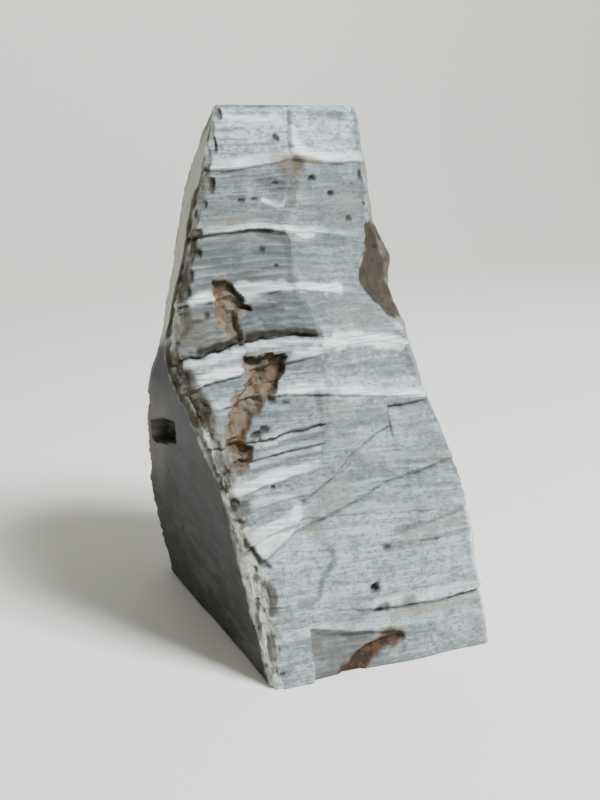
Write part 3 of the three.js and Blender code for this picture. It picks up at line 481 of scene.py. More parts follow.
def curve_through(stops, position, item):
    """Smooth curve through listed stops: on each span the straight line plus t(1 - t) times the amount
    by which the end slopes differ from it; the slope at a stop is that between its two neighbours."""
    table = np.array(stops, float)
    where, value = table[:, 0], table[:, item]
    last = len(where) - 1
    before, after = np.maximum(np.arange(last + 1) - 1, 0), np.minimum(np.arange(last + 1) + 1, last)
    slope = (value[after] - value[before]) / (where[after] - where[before])
    i = np.clip(np.searchsorted(where, position, side="right") - 1, 0, last - 1)
    span = where[i + 1] - where[i]
    rise = value[i + 1] - value[i]
    t = np.clip((position - where[i]) / span, 0.0, 1.0)
    curl = t * (1 - t) * ((1 - t) * (slope[i] * span - rise) - t * (slope[i + 1] * span - rise))
    return value[i] + rise * t + curl


def lattice_value(i, j, k):
    """Repeatable random number from 0 to 1: the fraction of a large sine of the lattice place."""
    s = np.sin(i * 127.1 + j * 311.7 + k * 74.7) * 43758.5453
    return s - np.floor(s)


def noise(x, y, z):
    """Smooth noise from -1 to 1: lattice numbers at the eight corners of the unit cell, mixed by
    3t^2 - 2t^3 along each axis."""
    x, y, z = np.broadcast_arrays(x, y, z)
    i, j, k = np.floor(x), np.floor(y), np.floor(z)
    u, v, w = (t * t * (3 - 2 * t) for t in (x - i, y - j, z - k))
    total = 0.0
    for a in (0, 1):
        for b in (0, 1):
            for c in (0, 1):
                weight = (u if a else 1 - u) * (v if b else 1 - v) * (w if c else 1 - w)
                total = total + weight * lattice_value(i + a, j + b, k + c)
    return 2 * total - 1


def rough(x, y, z, size, octaves=3, gain=0.5):
    """Sum of noises, each about half the size of the last and gain times its height."""
    total, height, scale = 0.0, 1.0, 1.0 / size
    for octave in range(octaves):
        total = total + height * noise(x * scale + 7.1 * octave, y * scale - 3.3 * octave, z * scale)
        height *= gain
        scale *= 2.03
    return total


def uneven(shape, position, row, seed):
    """Unevenness along a line: level plus swing times noise of the given size; row and seed pick it."""
    level, swing, size = shape
    return level + swing * noise(position / size, row, seed)


def paint(place, mark, amount):
    """Lay a mark on wherever it isn't stronger already."""
    place[mark] = np.maximum(place[mark], amount)


# ---- the plain block -------------------------------------------------------------------------------

def arris_point(index, z):
    """Plan position (x, y) of a corner line at height z."""
    line = ARRISES[index % SIDES]["line"]
    return np.stack([curve_through(line, z, 1), curve_through(line, z, 2)], -1)


def side_normal(side, z):
    """Outward direction in plan: square to the straight line between the side's two arrises."""
    chord = arris_point(side + 1, z) - arris_point(side, z)
    normal = np.stack([chord[..., 1], -chord[..., 0]], -1)
    return normal / np.linalg.norm(normal, axis=-1, keepdims=True)


def outward(side, z, from_start, to_end):
    """The side's outward direction plus its neighbours', each by the closeness of their arris."""
    near_start = 1 - smooth_step(0, CORNER_BLEND, from_start)
    near_end = 1 - smooth_step(0, CORNER_BLEND, to_end)
    direction = (side_normal(side, z) + side_normal(side - 1, z) * near_start[..., None]
                 + side_normal(side + 1, z) * near_end[..., None])
    return direction / np.linalg.norm(direction, axis=-1, keepdims=True)


def layer_height(index, side, f):
    """Height of a layer line over share f of a side: straight between its heights at the arrises, plus
    the bow 4f(1 - f), a wander and fine teeth; behind the front it runs evenly round to the front left."""
    layer = LAYERS[index]
    if index in (0, BANDS):
        return np.full_like(f, layer["at"][0], dtype=float)
    middle = np.full(1, float(layer["at"][1]))
    x = mix(arris_point(side, middle)[0, 0], arris_point(side + 1, middle)[0, 0], f)
    wander = uneven(LINE_WANDER, x, index * 3.7, 0.5)
    if side >= FRONT_RIGHT:
        turn = (side - FRONT_RIGHT + f) / (SIDES - FRONT_RIGHT)
        return mix(layer["at"][2], layer["at"][0], turn) + wander
    patchy = uneven(TEETH_PATCHY, x, index * 2.3, 1.5)
    teeth = layer["jag"][side] * patchy * rough(x, index * 5.1, 2.5, JAG_SIZE, 3, JAG_GAIN)
    teeth = teeth * smooth_step(0, TEETH_END, f)
    straight = mix(layer["at"][side], layer["at"][side + 1], f)
    bow = layer["bow"][side] * 4 * f * (1 - f)
    return straight + bow + wander + teeth * smooth_step(1, 1 - TEETH_END, f)


# ---- relief: how far the stone stands out of the plain block ---------------------------------------

def layer_values(key, item, index):
    """One value of the layer of each row of points, as a column."""
    return np.array([layer[key][item] for layer in LAYERS], float)[index][:, None]


def station_value(key, index, place):
    """A layer's value over the front: straight between its two stations in each column, changing over
    at the ridge, and fading round the outer arrises within WRAP on the right and half of it on the left."""
    stations = [layer_values(key, item, index) for item in range(4)]
    if place["side"] == 0:
        right = 0.5 * (1 - smooth_step(0, RIDGE_BLEND, place["to_end"]))
        return mix(mix(stations[0], stations[1], place["f"]), stations[2], right)
    if place["side"] == RIDGE:
        left = 0.5 * (1 - smooth_step(0, RIDGE_BLEND, place["from_start"]))
        return mix(mix(stations[2], stations[3], place["f"]), stations[1], left)
    if place["side"] == FRONT_RIGHT:
        return stations[3] * (1 - smooth_step(0, WRAP, place["from_start"]))
    if place["side"] == LEFT:
        return stations[0] * (1 - smooth_step(0, WRAP / 2, place["to_end"]))
    return np.zeros_like(place["x"])


def layer_relief(place):
    """Stepped layers: what stands out above the band's lower line plus what is cut back under its upper
    line, each fading evenly over its reach. Both are uneven along x. High lips and steep up-facing cuts get
    a pale mark, partly bruise and partly painted highlight, and under the lips lies dirt with painted shade."""
    band, x = place["band"], place["x"]
    row = 1.7 * band[:, None]
    reach_up, reach_down = layer_values("reach", 0, band), layer_values("reach", 1, band + 1)
    above_line, below_line = place["z"] - place["lower"], place["upper"] - place["z"]
    lip = np.clip(1 - above_line / reach_up, 0, 1)
    cut = np.clip(1 - below_line / reach_down, 0, 1)
    above = station_value("lip", band, place) * uneven(LIP_UNEVEN, x, row, place["y"] / LIP_DEPTH_SIZE)
    below = station_value("cut", band + 1, place) * uneven(CUT_UNEVEN, x, row + 5.5, 3.5)
    on_lip = np.clip(above / CREST_LIP, 0, 1) * smooth_step(*CREST_END, above_line / reach_up)
    on_cut = (smooth_step(*CREST_START, below_line / reach_down)
              * smooth_step(*CREST_END, below_line / reach_down))
    steep = np.clip(CREST_GAIN * (-below / reach_down - CREST_SLOPE), 0, 1)
    patchy = np.clip(uneven(CREST_PATCHY, x, 2.9 * band[:, None], 8.5), *CREST_LIMITS)
    # Pale mark on high lips and steep up-facing cuts: chalky bruise and painted highlight.
    place["crest"] = patchy * np.maximum(on_lip, steep * on_cut)
    if place["side"] <= RIDGE:
        # Dark line under each lip: dirt in the crack plus painted shade where the lip overhangs.
        dirt_and_shade = layer_values("dirt_and_shade", place["side"], band + 1)
        thickness = CRACK_WIDTH * uneven(DIRT_AND_SHADE_UNEVEN, x, row + 2.5, 6.5) * mix(CRACK_THIN, 1.0, dirt_and_shade)
        broken = np.clip(uneven(DIRT_AND_SHADE_PATCHY, x, row + 7.5, 9.5), *CRACK_LIMITS)
        place["crack"] = np.clip(dirt_and_shade * broken, 0, 1) * bell(below_line, thickness)
    return above * lip + below * cut


def seam_relief(place):
    """Oblique seams: under the seam's line the stone steps back by drop and comes out again evenly."""
    x, total = place["x"], 0.0
    for seam in SEAMS:
        line, height, darkness = np.array(seam["line"], float).T
        under = np.interp(x, line, height) - place["z"] + uneven(SEAM_WANDER, x, 0.5, 6.5)
        left, right = seam["ends"]
        ends = between((line[0] - left, line[0], line[-1], line[-1] + right), x)
        fade = np.clip(1 - under / seam["reach"], 0, 1)
        total = total - seam["drop"] * smooth_step(-SEAM_STEP / 2, SEAM_STEP / 2, under) * fade * ends
        # Dark line under the seam's step: dirt and painted shade.
        dark = np.interp(x, line, darkness) * uneven(SEAM_PATCHY, x, 0.5, 7.5)
        dirt_and_shade = bell(under - SEAM_DIRT_AND_SHADE_DEPTH, mix(*SEAM_DIRT_AND_SHADE_WIDTH, dark))
        paint(place, "crack", np.clip(dark * ends * dirt_and_shade, 0, 1))
    return total


def scoop_relief(place):
    """Shallow bowls: depth times 1 - r^2 inside the rim, where r is the distance from the middle as a
    share of the half width across and of the half height upwards."""
    total = 0.0
    for x, z, half_width, half_height, depth in SCOOPS:
        share = ((place["x"] - x) / half_width) ** 2 + ((place["z"] - z) / half_height) ** 2
        total = total - depth * np.clip(1 - share, 0, 1)
    return total


def flake_relief(place):
    """Shallow flake: full depth between its left edge and its top, fading out to the right."""
    x, z, left, right, edge = place["x"], place["z"], FLAKE["left"], FLAKE["right"], FLAKE["edge"]
    top = FLAKE["top"] - FLAKE["slope"] * (x - left)
    wander = FLAKE_TEAR * noise(x / FLAKE_TEAR_SIZE, z / FLAKE_TEAR_SIZE, 8.5)
    place["flake"] = (smooth_step(left - edge, left + edge, x + wander)
                      * smooth_step(right, right - FLAKE["fade"], x)
                      * smooth_step(edge, -edge, z + wander - top))
    return -FLAKE["depth"] * place["flake"]


def distance_from_edge(across, up, x0, z0, x1, z1):
    """Distance from the straight piece between two points: that from its nearest point, which lies at
    the share t of its length, held from 0 to 1."""
    t = ((across - x0) * (x1 - x0) + (up - z0) * (z1 - z0)) / ((x1 - x0) ** 2 + (z1 - z0) ** 2)
    t = np.clip(t, 0, 1)
    return np.hypot(across - x0 - t * (x1 - x0), up - z0 - t * (z1 - z0))


def inside_outline(across, up, outline):
    """Share of a hollow's full depth at a point: 0 outside the outline; inside, the least, over its
    edges, of 3t^2 - 2t^3 of the distance t from the edge in rims. Also the distance inside the outline,
    and the distance from its nearest steep edge."""
    crossings = np.zeros(across.shape, dtype=bool)
    nearest, steep = np.full(across.shape, 1e3), np.full(across.shape, 1e3)
    share = np.ones(across.shape)
    for (x0, z0, rim), (x1, z1, _) in zip(outline, outline[1:] + outline[:1]):
        crossings ^= ((z0 > up) != (z1 > up)) & (across < (x1 - x0) * (up - z0) / (z1 - z0 + 1e-9) + x0)
        distance = distance_from_edge(across, up, x0, z0, x1, z1)
        nearest = np.minimum(nearest, distance)
        steep = np.minimum(steep, distance) if rim <= STEEP_RIM else steep
        share = np.minimum(share, smooth_step(0, rim, distance))
    return share * crossings, np.where(crossings, nearest, -nearest), steep


def hollow_relief(place):
    """Hollows: down to the floor inside the outline, over walls as wide as the rims, with a torn outline
    and a rough floor. The floor gets dirt, and the steep walls are darkened with painted shade."""
    x, y, z = place["x"], place["y"], place["z"]
    total = np.zeros_like(x)
    for hollow in HOLLOWS:
        if hollow["side"] != place["side"]:
            continue
        across = place["across"] + hollow["tear"] * rough(x, y, z, TEAR_SIZE, 2)
        up = z + hollow["tear"] * rough(x, y, z + 31, TEAR_SIZE, 2)
        share, inside, steep = inside_outline(across, up, hollow["outline"])
        floor = 1 + FLOOR_ROUGH * rough(x, y, z + 40, FLOOR_SIZE, 3)
        total = total - hollow["depth"] * share * floor
        stain = smooth_step(-STAIN_EDGE, STAIN_EDGE, inside)
        if hollow["mark"] == "pit":
            # A slot is painted dark all over: dirt and painted shade in the deep recess.
            paint(place, "crack", stain)
            continue
        paint(place, hollow["mark"], stain)
        uneven_soil = np.clip(1 + SOIL_ROUGH * rough(x, y, z + 17, SOIL_SIZE, 2), 0, SOIL_MOST)
        place["crack"] = place["crack"] * (1 - stain)
        paint(place, "crack", np.clip(hollow["dark"] * stain * uneven_soil, 0, 1))
        # Painted shade on the steep walls, where their shadow falls.
        wall = smooth_step(*WALL_SHADE, steep) * smooth_step(*WALL_EDGE, inside)
        paint(place, "crack", hollow["wall"] * wall)
    return total


def pit_relief(place):
    """Small pits: a squarish dent round each point, where the distance from the middle is the cube root
    of the sum of the cubes of the shares of the half width and the half height, frayed by noise."""
    total, across, z = 0.0, place["across"], place["z"]
    fray = PIT_FRAY * noise(across / PIT_FRAY_SIZE, z / PIT_FRAY_SIZE, 5.5)
    for middle, height, half_width, half_height, depth in PITS.get(place["side"], []):
        cubes = np.abs((across - middle) / half_width) ** 3 + np.abs((z - height) / half_height) ** 3
        share = cubes ** (1 / 3) + fray
        total = total - depth * smooth_step(*PIT_WALL, share)
        # Each pit is darkened: dirt and painted shade in the recess.
        paint(place, "crack", PIT_DARK * smooth_step(*PIT_DIRT_AND_SHADE, share))
    return total


def wear_relief(place):
    """Broken arrises: a flat bevel, whose depth wanders along the corner line, with a rough face. The
    left one looks crushed, with dirt and painted shade in its dents."""
    x, y, z, side = place["x"], place["y"], place["z"], place["side"]
    total = np.zeros_like(x)
    for index, distance in ((side, place["from_start"]), (side + 1, place["to_end"])):
        heights, depths = np.array(ARRISES[index % SIDES]["wear"], float).T
        wander = uneven(CHIP_LONG, z, index * 5.3, 2.5) + uneven(CHIP_SHORT, z, index * 2.9, 4.5)
        depth = np.interp(z, heights, depths) * wander
        bevel = np.clip(1 - distance / np.maximum(BEVEL_WIDTH * depth, 0.01), 0, 1)
        face = smooth_step(0, BEVEL_EDGE, bevel)
        bumps = rough(x, y, z, BREAK_SIZE, 3)
        total = np.minimum(total, -depth * bevel)
        total = total + BREAK_ROUGH * np.minimum(depth, BREAK_DEPTH) * face * bumps
        if index % SIDES == 0:
            place["crack"] = place["crack"] * (1 - BREAK_CLEAN * face)
            paint(place, "broken", face * mix(1, UPPER_BROKEN, smooth_step(*BROKEN_HEIGHTS, z)))
            # Dents of the broken left arris are darkened: dirt and painted shade.
            paint(place, "crack", BREAK_DARK * (face * smooth_step(*BREAK_PITTED, -bumps)))
            dirty = smooth_step(*UPPER_CLEAN, uneven(CLEAN_PATCHY, z, 1.5, 3.5))
            paint(place, "earth", face * between(SOIL_HEIGHTS, z))
            paint(place, "earth", UPPER_DIRT * (face * smooth_step(*UPPER_HEIGHTS, z) * dirty))
    return total


def lump_relief(place):
    """Gentle swells on the split front and the left side; coarser lumps on the rough skin behind, of
    noise plus finer noise."""
    x, y, z, side = place["x"], place["y"], place["z"], place["side"]
    swell = FRONT_LUMPS * noise(x / FRONT_LUMP_SIZE, y / FRONT_LUMP_SIZE, z / FRONT_LUMP_SIZE)
    if side < FRONT_RIGHT or side == LEFT:
        return swell
    size, fine = SKIN_LUMP_SIZE, LUMP_RATIO
    lumps = (noise(x / size, y / size, z / size + 9)
             + LUMP_SHARE * noise(fine * x / size, fine * y / size, fine * z / size))
    nearest = {FRONT_RIGHT: place["from_start"], LEFT - 1: place["to_end"]}.get(side, CORNER_BLEND)
    behind = smooth_step(0, CORNER_BLEND, nearest)
    place["rough_skin"] = np.broadcast_to(behind, x.shape)
    return mix(swell, SKIN_LUMPS * lumps, behind)


def grain_relief(place):
    """Fine surface: on the front, thin sheets that each stand out at their lower edge and lean back by
    SHEET_HEIGHT over their thickness, in uneven patches; a broken zone in the left column; and
    small-scale roughness, stronger on the rough skin behind."""
    x, y, z, zone = place["x"], place["y"], place["z"], place["broken_zone"]
    wander = uneven(SHEET_WANDER, x, 3.5, place["layer_depth"] / SHEET_WANDER_HEIGHT)
    count = (place["layer_depth"] + wander) / SHEET
    share = count - np.floor(count)
    strength = np.clip(uneven(SHEET_PATCHY, x, np.floor(count) * 1.3, 4.5), 0, 1) * place["front"]
    fine = rough(x, y, z, FINE_SIZE, 2)
    broken = rough(x, y, BROKEN_FLAT * z, BROKEN_SIZE, 3)
    # Each sheet's standing-out lower edge gets a painted highlight; the dark line under the next sheet is
    # dirt and painted shade.
    paint(place, "crest", SHEET_MARK * strength * bell(share, SHEET_EDGE))
    paint(place, "crack", SHEET_MARK * strength * bell(1 - share, SHEET_UNDER))
    # Dents of the broken zone are darkened: dirt and painted shade.
    paint(place, "crack", BROKEN_DARK * zone * smooth_step(*BROKEN_DENTS, -broken))
    return (SHEET_HEIGHT * strength * (0.5 - share) + BROKEN_HEIGHT * broken * zone
            + FINE_HEIGHT * fine * (1 + SKIN_FINE * place["rough_skin"]))


def groove_relief(place):
    """Upright grooves where the facets meet at the ridge: depth times a bell curve of the distance."""
    distance, total = place["to_end"] if place["side"] == 0 else place["from_start"], 0.0
    for groove in GROOVES:
        span = between(groove["heights"], place["z"])
        # Dark line in the groove: dirt and painted shade in the crease.
        paint(place, "crack", groove["dirt_and_shade"] * span * bell(distance, groove["dirt_and_shade_width"]))
        total = total - groove["depth"] * span * bell(distance, groove["width"])
    return total


RELIEFS = (layer_relief, seam_relief, scoop_relief, flake_relief, hollow_relief, pit_relief,
           wear_relief, lump_relief, grain_relief, groove_relief)
FRONT_RELIEFS = (seam_relief, scoop_relief, flake_relief, groove_relief)


def distance_from_line(across, up, line):
    """Distance from a line of (across, height) points: the least of those from its straight pieces."""
    nearest = np.full(across.shape, 1e3)
    for start, end in zip(line, line[1:]):
        nearest = np.minimum(nearest, distance_from_edge(across, up, *start, *end))
    return nearest


def rows_of_side(table, side):
    """Each mark with each of its rows that a table of marks holds for a side."""
    return [(mark, *row) for (mark, where), rows in table.items() if where == side for row in rows]


def paint_marks(place):
    """Patches: strength times 1 - r^2, made even in the middle, inside each ellipse. Streaks: full
    strength near their line and none beyond twice the half thickness. Both are frayed by noise."""
    side, across, z = place["side"], place["across"], place["z"]
    fray = rough(across, 0.5, z, FRAY_SIZE, 2)
    for mark, middle, height, half_width, half_height, strength in rows_of_side(PATCHES, side):
        share = ((across - middle) / half_width) ** 2 + ((z - height) / half_height) ** 2
        solid = np.clip(PATCH_GAIN * (1 - share) + FRAY * fray, 0, 1) * (share < PATCH_LIMIT)
        if strength > 0:
            paint(place, mark, strength * solid)
        else:
            place[mark] = place[mark] * (1 + strength * solid)
    for mark, half_thickness, strength, line in rows_of_side(STREAKS, side):
        distance = distance_from_line(across, z, line) * (1 + FRAY * fray)
        start, full = (multiple * half_thickness for multiple in STREAK_FADE)
        paint(place, mark, strength * smooth_step(start, full, distance))


# ---- the stone's skin ------------------------------------------------------------------------------

def row_places():
    """Band and share of the band's height for every row of points: each band is divided evenly."""
    band, share = [], []
    for k in range(BANDS):
        rows = max(2, round((LAYERS[k + 1]["at"][1] - LAYERS[k]["at"][1]) / ROW_SPACING))
        band.append(np.full(rows + 1, k))
        share.append(np.arange(rows + 1) / rows)
    return np.concatenate(band), np.concatenate(share)


def side_place(side, band, share):
    """The plain side, straight between its two arrises at each height, with rows along the layer lines,
    and what the reliefs need to know of each of its points."""
    count, crowd = ARRISES[side]["columns"], ARRISES[side]["crowd"]
    f = 1 - (1 - np.arange(count) / count) ** crowd
    lines = np.stack([layer_height(k, side, f) for k in range(BANDS + 1)])
    lower, upper = lines[band], lines[band + 1]
    low = lower + LEDGE_STEP / 2 * (band > 0)[:, None]
    high = upper - LEDGE_STEP / 2 * (band < BANDS - 1)[:, None]
    z = mix(low, high, share[:, None])
    start, end = arris_point(side, z), arris_point(side + 1, z)
    plan = mix(start, end, f[None, :, None])
    length = np.linalg.norm(end - start, axis=-1)
    depth = mix(layer_values("at", 1, band), layer_values("at", 1, band + 1), share[:, None])
    place = dict(side=side, band=band, f=np.broadcast_to(f, z.shape), x=plan[..., 0], y=plan[..., 1], z=z,
                 across=plan[..., 0 if side <= RIDGE else 1], lower=lower, upper=upper,
                 from_start=f * length, to_end=(1 - f) * length, layer_depth=depth + 0 * z)
    for mark in MARKS:
        place[mark] = np.zeros_like(z)
    zone = (band == BROKEN_BAND) & (side == 0)
    place["broken_zone"] = zone[:, None] * smooth_step(0, BROKEN_ZONE_END, place["to_end"])
    return place, plan


def paint_side(place):
    """What a side is made of, before its relief: fresh or dull bands and thin sheets on the front."""
    side, z = place["side"], place["z"]
    place["stone"] = np.ones_like(z)
    if side <= FRONT_RIGHT:
        turned = smooth_step(2 * WRAP, 0, place["from_start"]) if side == FRONT_RIGHT else 1.0
        place["front"] = NEAR_FRONT[side] * turned + np.zeros_like(z)
    if side < FRONT_RIGHT:
        dull = layer_values("dull", side, place["band"]) + 0 * z
        place["dull"], place["fresh"] = np.clip(dull, 0, 1), np.clip(-dull, 0, 1)


def paint_skin(place):
    """The left side's skin, which laps raggedly over its far arris: dark below, partly painted shade,
    dusty above, darkest at its foot, where painted shade darkens it, and browner along its far rim."""
    side, x, y, z = place["side"], place["x"], place["y"], place["z"]
    if side not in (LEFT, LEFT - 1):
        return
    laid = np.ones_like(z)
    if side == LEFT - 1:
        laid = smooth_step(*LAP_DISTANCE, place["to_end"] + LAP_TEAR * rough(x, y, z, LAP_TEAR_SIZE, 2))
        place["rough_skin"] = place["rough_skin"] * (1 - laid)
    ragged = z + SKIN_TEAR * rough(x, y, z, SKIN_TEAR_SIZE, 3)
    # Dark lower part of the left side: weathered skin, partly painted shade of the side turned from the
    # light.
    place["skin"] = laid * smooth_step(*SKIN_HEIGHTS, ragged)
    place["dusty"] = laid * smooth_step(*DUSTY_HEIGHTS, ragged)
    # Painted shade: the dark part gets darker towards the base.
    place["shaded_foot"] = place["skin"] * smooth_step(*SHADED_FOOT_HEIGHTS, z)
    from_rim = place["from_start"] if side == LEFT else 0
    rim = smooth_step(*RIM_DISTANCE, from_rim + uneven(RIM_WANDER, z, 0.5, 0.5))
    place["rim_skin"] = place["skin"] * rim * between(RIM_HEIGHTS, z)


def side_skin(side, band, share):
    """Points and marks of one side: the plain side moved along its outward direction by the sum of the
    reliefs, less the worn edge of the sawn faces."""
    place, plan = side_place(side, band, share)
    z = place["z"]
    paint_side(place)
    bevel = np.maximum(np.maximum(EDGE_BEVEL - z, EDGE_BEVEL - (HEIGHT - z)), 0)
    reliefs = [relief for relief in RELIEFS if side <= RIDGE or relief not in FRONT_RELIEFS]
    offset = sum(relief(place) for relief in reliefs) - bevel
    paint_marks(place)
    paint_skin(place)
    direction = outward(side, z, place["from_start"], place["to_end"])
    points = np.concatenate([plan + direction * offset[..., None], z[..., None]], -1)
    return points, np.stack([place[mark] for mark in MARKS], -1)


def top_skin(rim):
    """Sawn top: rings drawn in towards the rim's middle by each size, slightly wavy inside the rim, and
    the middle point itself. Also the rings' marks."""
    middle, sizes = rim.mean(axis=0), np.array(TOP_SIZES)
    rings = middle + (rim - middle) * sizes[:, None, None]
    wave = TOP_WAVE * (rough(rings[..., 0], rings[..., 1], 0.3, TOP_WAVE_SIZE, 3) - 1.0)
    rings[..., 2] += wave * smooth_step(1.0, TOP_RIM, sizes)[:, None]
    middle[2] = rings[-1, :, 2].mean()
    marks = np.zeros((len(sizes), len(rim), len(MARKS)))
    marks[..., [MARKS.index("stone"), MARKS.index("sawn")]] = 1.0
    marks[..., MARKS.index("crack")] = TOP_DIRT * smooth_step(TOP_RIM, 1.0, sizes)[:, None]
    return rings, middle, marks


def linked(item):
    """The object itself, put into the scene."""
    bpy.context.collection.objects.link(item)
    return item


def block_mesh(name):
    """One closed skin: the seven sides joined in rings, the sawn top as rings drawn in to a middle
    point, and the flat base as a fan."""
    band, share = row_places()
    sides = [side_skin(side, band, share) for side in range(SIDES)]
    rings = np.concatenate([points for points, _ in sides], axis=1)
    marks = np.concatenate([mark for _, mark in sides], axis=1)
    cap, top_middle, top_marks = top_skin(rings[-1])
    rings = np.concatenate([rings, cap], axis=0)
    marks = np.concatenate([marks, top_marks], axis=0)

    rows, around = rings.shape[:2]
    points = np.concatenate([rings.reshape(-1, 3), top_middle[None], np.zeros((1, 3))])
    marks = np.concatenate([marks.reshape(-1, len(MARKS)), np.zeros((2, len(MARKS)))])
    top, base = rows * around, rows * around + 1
    column = np.arange(around)
    after = (column + 1) % around
    row = (np.arange(rows - 1) * around)[:, None]
    quads = np.stack([row + column, row + after, row + around + after, row + around + column], -1)
    quads = quads.reshape(-1, 4)
    rim = (rows - 1) * around
    fans = np.concatenate([np.stack([rim + column, rim + after, np.full(around, top)], -1),
                           np.stack([after, column, np.full(around, base)], -1)])

    mesh = bpy.data.meshes.new(name)
    mesh.from_pydata((points * MM).tolist(), [], quads.tolist() + fans.tolist())
    for index, mark in enumerate(MARKS):
        layer = mesh.attributes.new(mark, "FLOAT", "POINT")
        layer.data.foreach_set("value", marks[:, index].astype(np.float32))
    mesh.update()
    mesh.shade_smooth()
    mesh.set_sharp_from_angle(angle=math.radians(SHARP_ANGLE))
    return linked(bpy.data.objects.new(name, mesh))


# ---- materials -------------------------------------------------------------------------------------

def srgb(hex_code):
    """Linear colour of an sRGB hex value."""
    values = [int(hex_code[i:i + 2], 16) / 255 for i in (1, 3, 5)]
    return tuple(v / 12.92 if v <= 0.04045 else ((v + 0.055) / 1.055) ** 2.4 for v in values) + (1.0,)


def add(tree, kind, settings=(), links=(), values=()):
    """One node: settings are its properties, links feed its inputs from other nodes' outputs, and values
    set the other inputs; inputs are given by name or number."""
    node = tree.nodes.new(kind)
    for key, value in dict(settings).items():
        setattr(node, key, value)
    for key, output in dict(links).items():
        tree.links.new(output, node.inputs[key])
    for key, value in dict(values).items():
        node.inputs[key].default_value = value
    return node


STONE_COLOUR = "#838f92"    # clean split soapstone

# Coats over the clean stone, in the order they are laid: (mark, size, stretch, low, high, least, most,
# colour). Each is a cloudy pattern with patches of size mm, squeezed by stretch; where the pattern goes
# from low to high, the coat goes from least to most, all times the mark painted on the mesh.
EVEN, GRAIN, FLAT, FINE = (1, 1, 1), (0.8, 0.8, 1.3), (0.3, 0.3, 5), (0.4, 0.4, 8)
COATS = [
    # Fresh facets: paler.
    ("fresh", 8, EVEN, 0.3, 0.6, 0.6, 0.95, "#cad8dd"),
    # Cloudy darker and warmer patches a centimetre across.
    ("stone", 15, EVEN, 0.4, 0.65, 0, 0.4, "#6d787a"),
    ("stone", 8, EVEN, 0.55, 0.75, 0, 0.5, "#968c7c"),
    # Darker and paler blotches a few millimetres across.
    ("stone", 5, EVEN, 0.5, 0.6, 0, 0.5, "#5f686a"),
    ("stone", 6, EVEN, 0.49, 0.38, 0, 0.5, "#b6c1c4"),
    # Darker and paler streaks along the thin sheets.
    ("front", 9, FLAT, 0.48, 0.6, 0, 0.6, "#535c5e"),
    ("front", 8, FINE, 0.47, 0.33, 0, 0.55, "#d4dee0"),
    # Pale mineral grains 1 mm across.
    ("stone", 1.2, GRAIN, 0.48, 0.34, 0, 0.3, "#b9c3c5"),
    # Weathered bands: grey rubbed-in dirt; a few grey streaks under layer lines are painted shade.
    ("dull", 6, (0.5, 0.5, 2), 0.3, 0.65, 0.5, 1, "#4f5655"),
    # Dark mineral grains 1 mm across.
    ("stone", 1.3, GRAIN, 0.48, 0.64, 0, 0.6, "#4f5657"),
    # The shallow flake: fresh darker stone.
    ("flake", 4, EVEN, 0.3, 0.6, 0.65, 0.95, "#5a5a55"),
    # Chalky bruises where the tool crushed the lips, and painted highlight on the up-facing lips and cuts,
    # streaked along the sheets.
    ("crest", 4, FLAT, 0.6, 0.42, 0.45, 1, "#f3f9f8"),
    # Sawn top: paler, with faint dust.
    ("sawn", 12, EVEN, 0.4, 0.6, 0.3, 0.6, "#b5b5b0"),
    # Faint brownish stains.
    ("tan", 5, EVEN, 0.3, 0.6, 0.6, 1, "#928975"),
    # Dark weathered skin on the left, partly painted shade of the side turned from the light, with paler and
    # darker clouds, darkest near the foot from painted shade, and paler and browner where its far edge is
    # rubbed.
    ("skin", 10, EVEN, 0, 1, 1, 1, "#505155"),
    ("skin", 18, EVEN, 0.42, 0.62, 0, 0.8, "#434342"),
    ("skin", 3.5, (1, 0.3, 0.9), 0.5, 0.65, 0, 0.5, "#3d3e40"),
    ("shaded_foot", 9, EVEN, 0.2, 0.6, 0.6, 1, "#232424"),
    ("shaded_foot", 6, (1, 0.3, 0.9), 0.5, 0.38, 0, 0.5, "#54514d"),
    ("rim_skin", 6, EVEN, 0.3, 0.6, 0.6, 0.9, "#686260"),
    # Upper left side: rubbed pale and dusty.
    ("dusty", 7, (1, 1, 0.4), 0.3, 0.6, 0.7, 1, "#c9c9bd"),
    # Rough skin behind: grey-brown, with lichen-pale patches.
    ("rough_skin", 16, EVEN, 0.35, 0.6, 0.6, 0.95, "#827d74"),
    ("rough_skin", 7, EVEN, 0.55, 0.7, 0, 0.6, "#aba99f"),
    # Broken left arris: crushed stone, dark and brown dirt caught in it, and white chips.
    ("broken", 6, EVEN, 0.3, 0.5, 0.7, 1, "#c3c7c1"),
    ("broken", 8, EVEN, 0.54, 0.6, 0, 0.75, "#55534a"),
    ("broken", 3, EVEN, 0.45, 0.35, 0, 0.95, "#eaedea"),
    ("earth", 6, EVEN, 0.35, 0.55, 0.85, 1, "#37301f"),
    ("earth", 3.5, EVEN, 0.52, 0.62, 0, 0.55, "#565039"),
    # Iron stain in the hollows: pinkish brown, with ochre and darker rust in patches.
    ("iron", 6, EVEN, 0, 1, 0.95, 0.95, "#756753"),
    ("iron", 7, EVEN, 0.5, 0.6, 0, 0.7, "#78592f"),
    ("iron", 4, EVEN, 0.46, 0.58, 0, 0.85, "#54402e"),
    ("iron", 2, EVEN, 0.56, 0.66, 0, 0.8, "#33271b"),
    # Rust-orange streak at the base.
    ("rust", 3, EVEN, 0.35, 0.6, 0.95, 1, "#5c3917"),
    ("rust", 2.4, EVEN, 0.43, 0.55, 0.1, 0.9, "#26190e"),
    # Dirt and painted shade in cracks, pits, dents, grooves and under the lips.
    ("crack", 2.5, EVEN, 0.3, 0.5, 0.88, 1, "#29251e"),
]
COAT_SHIFT = 0.13           # metres between the patterns of two coats, so that they don't line up

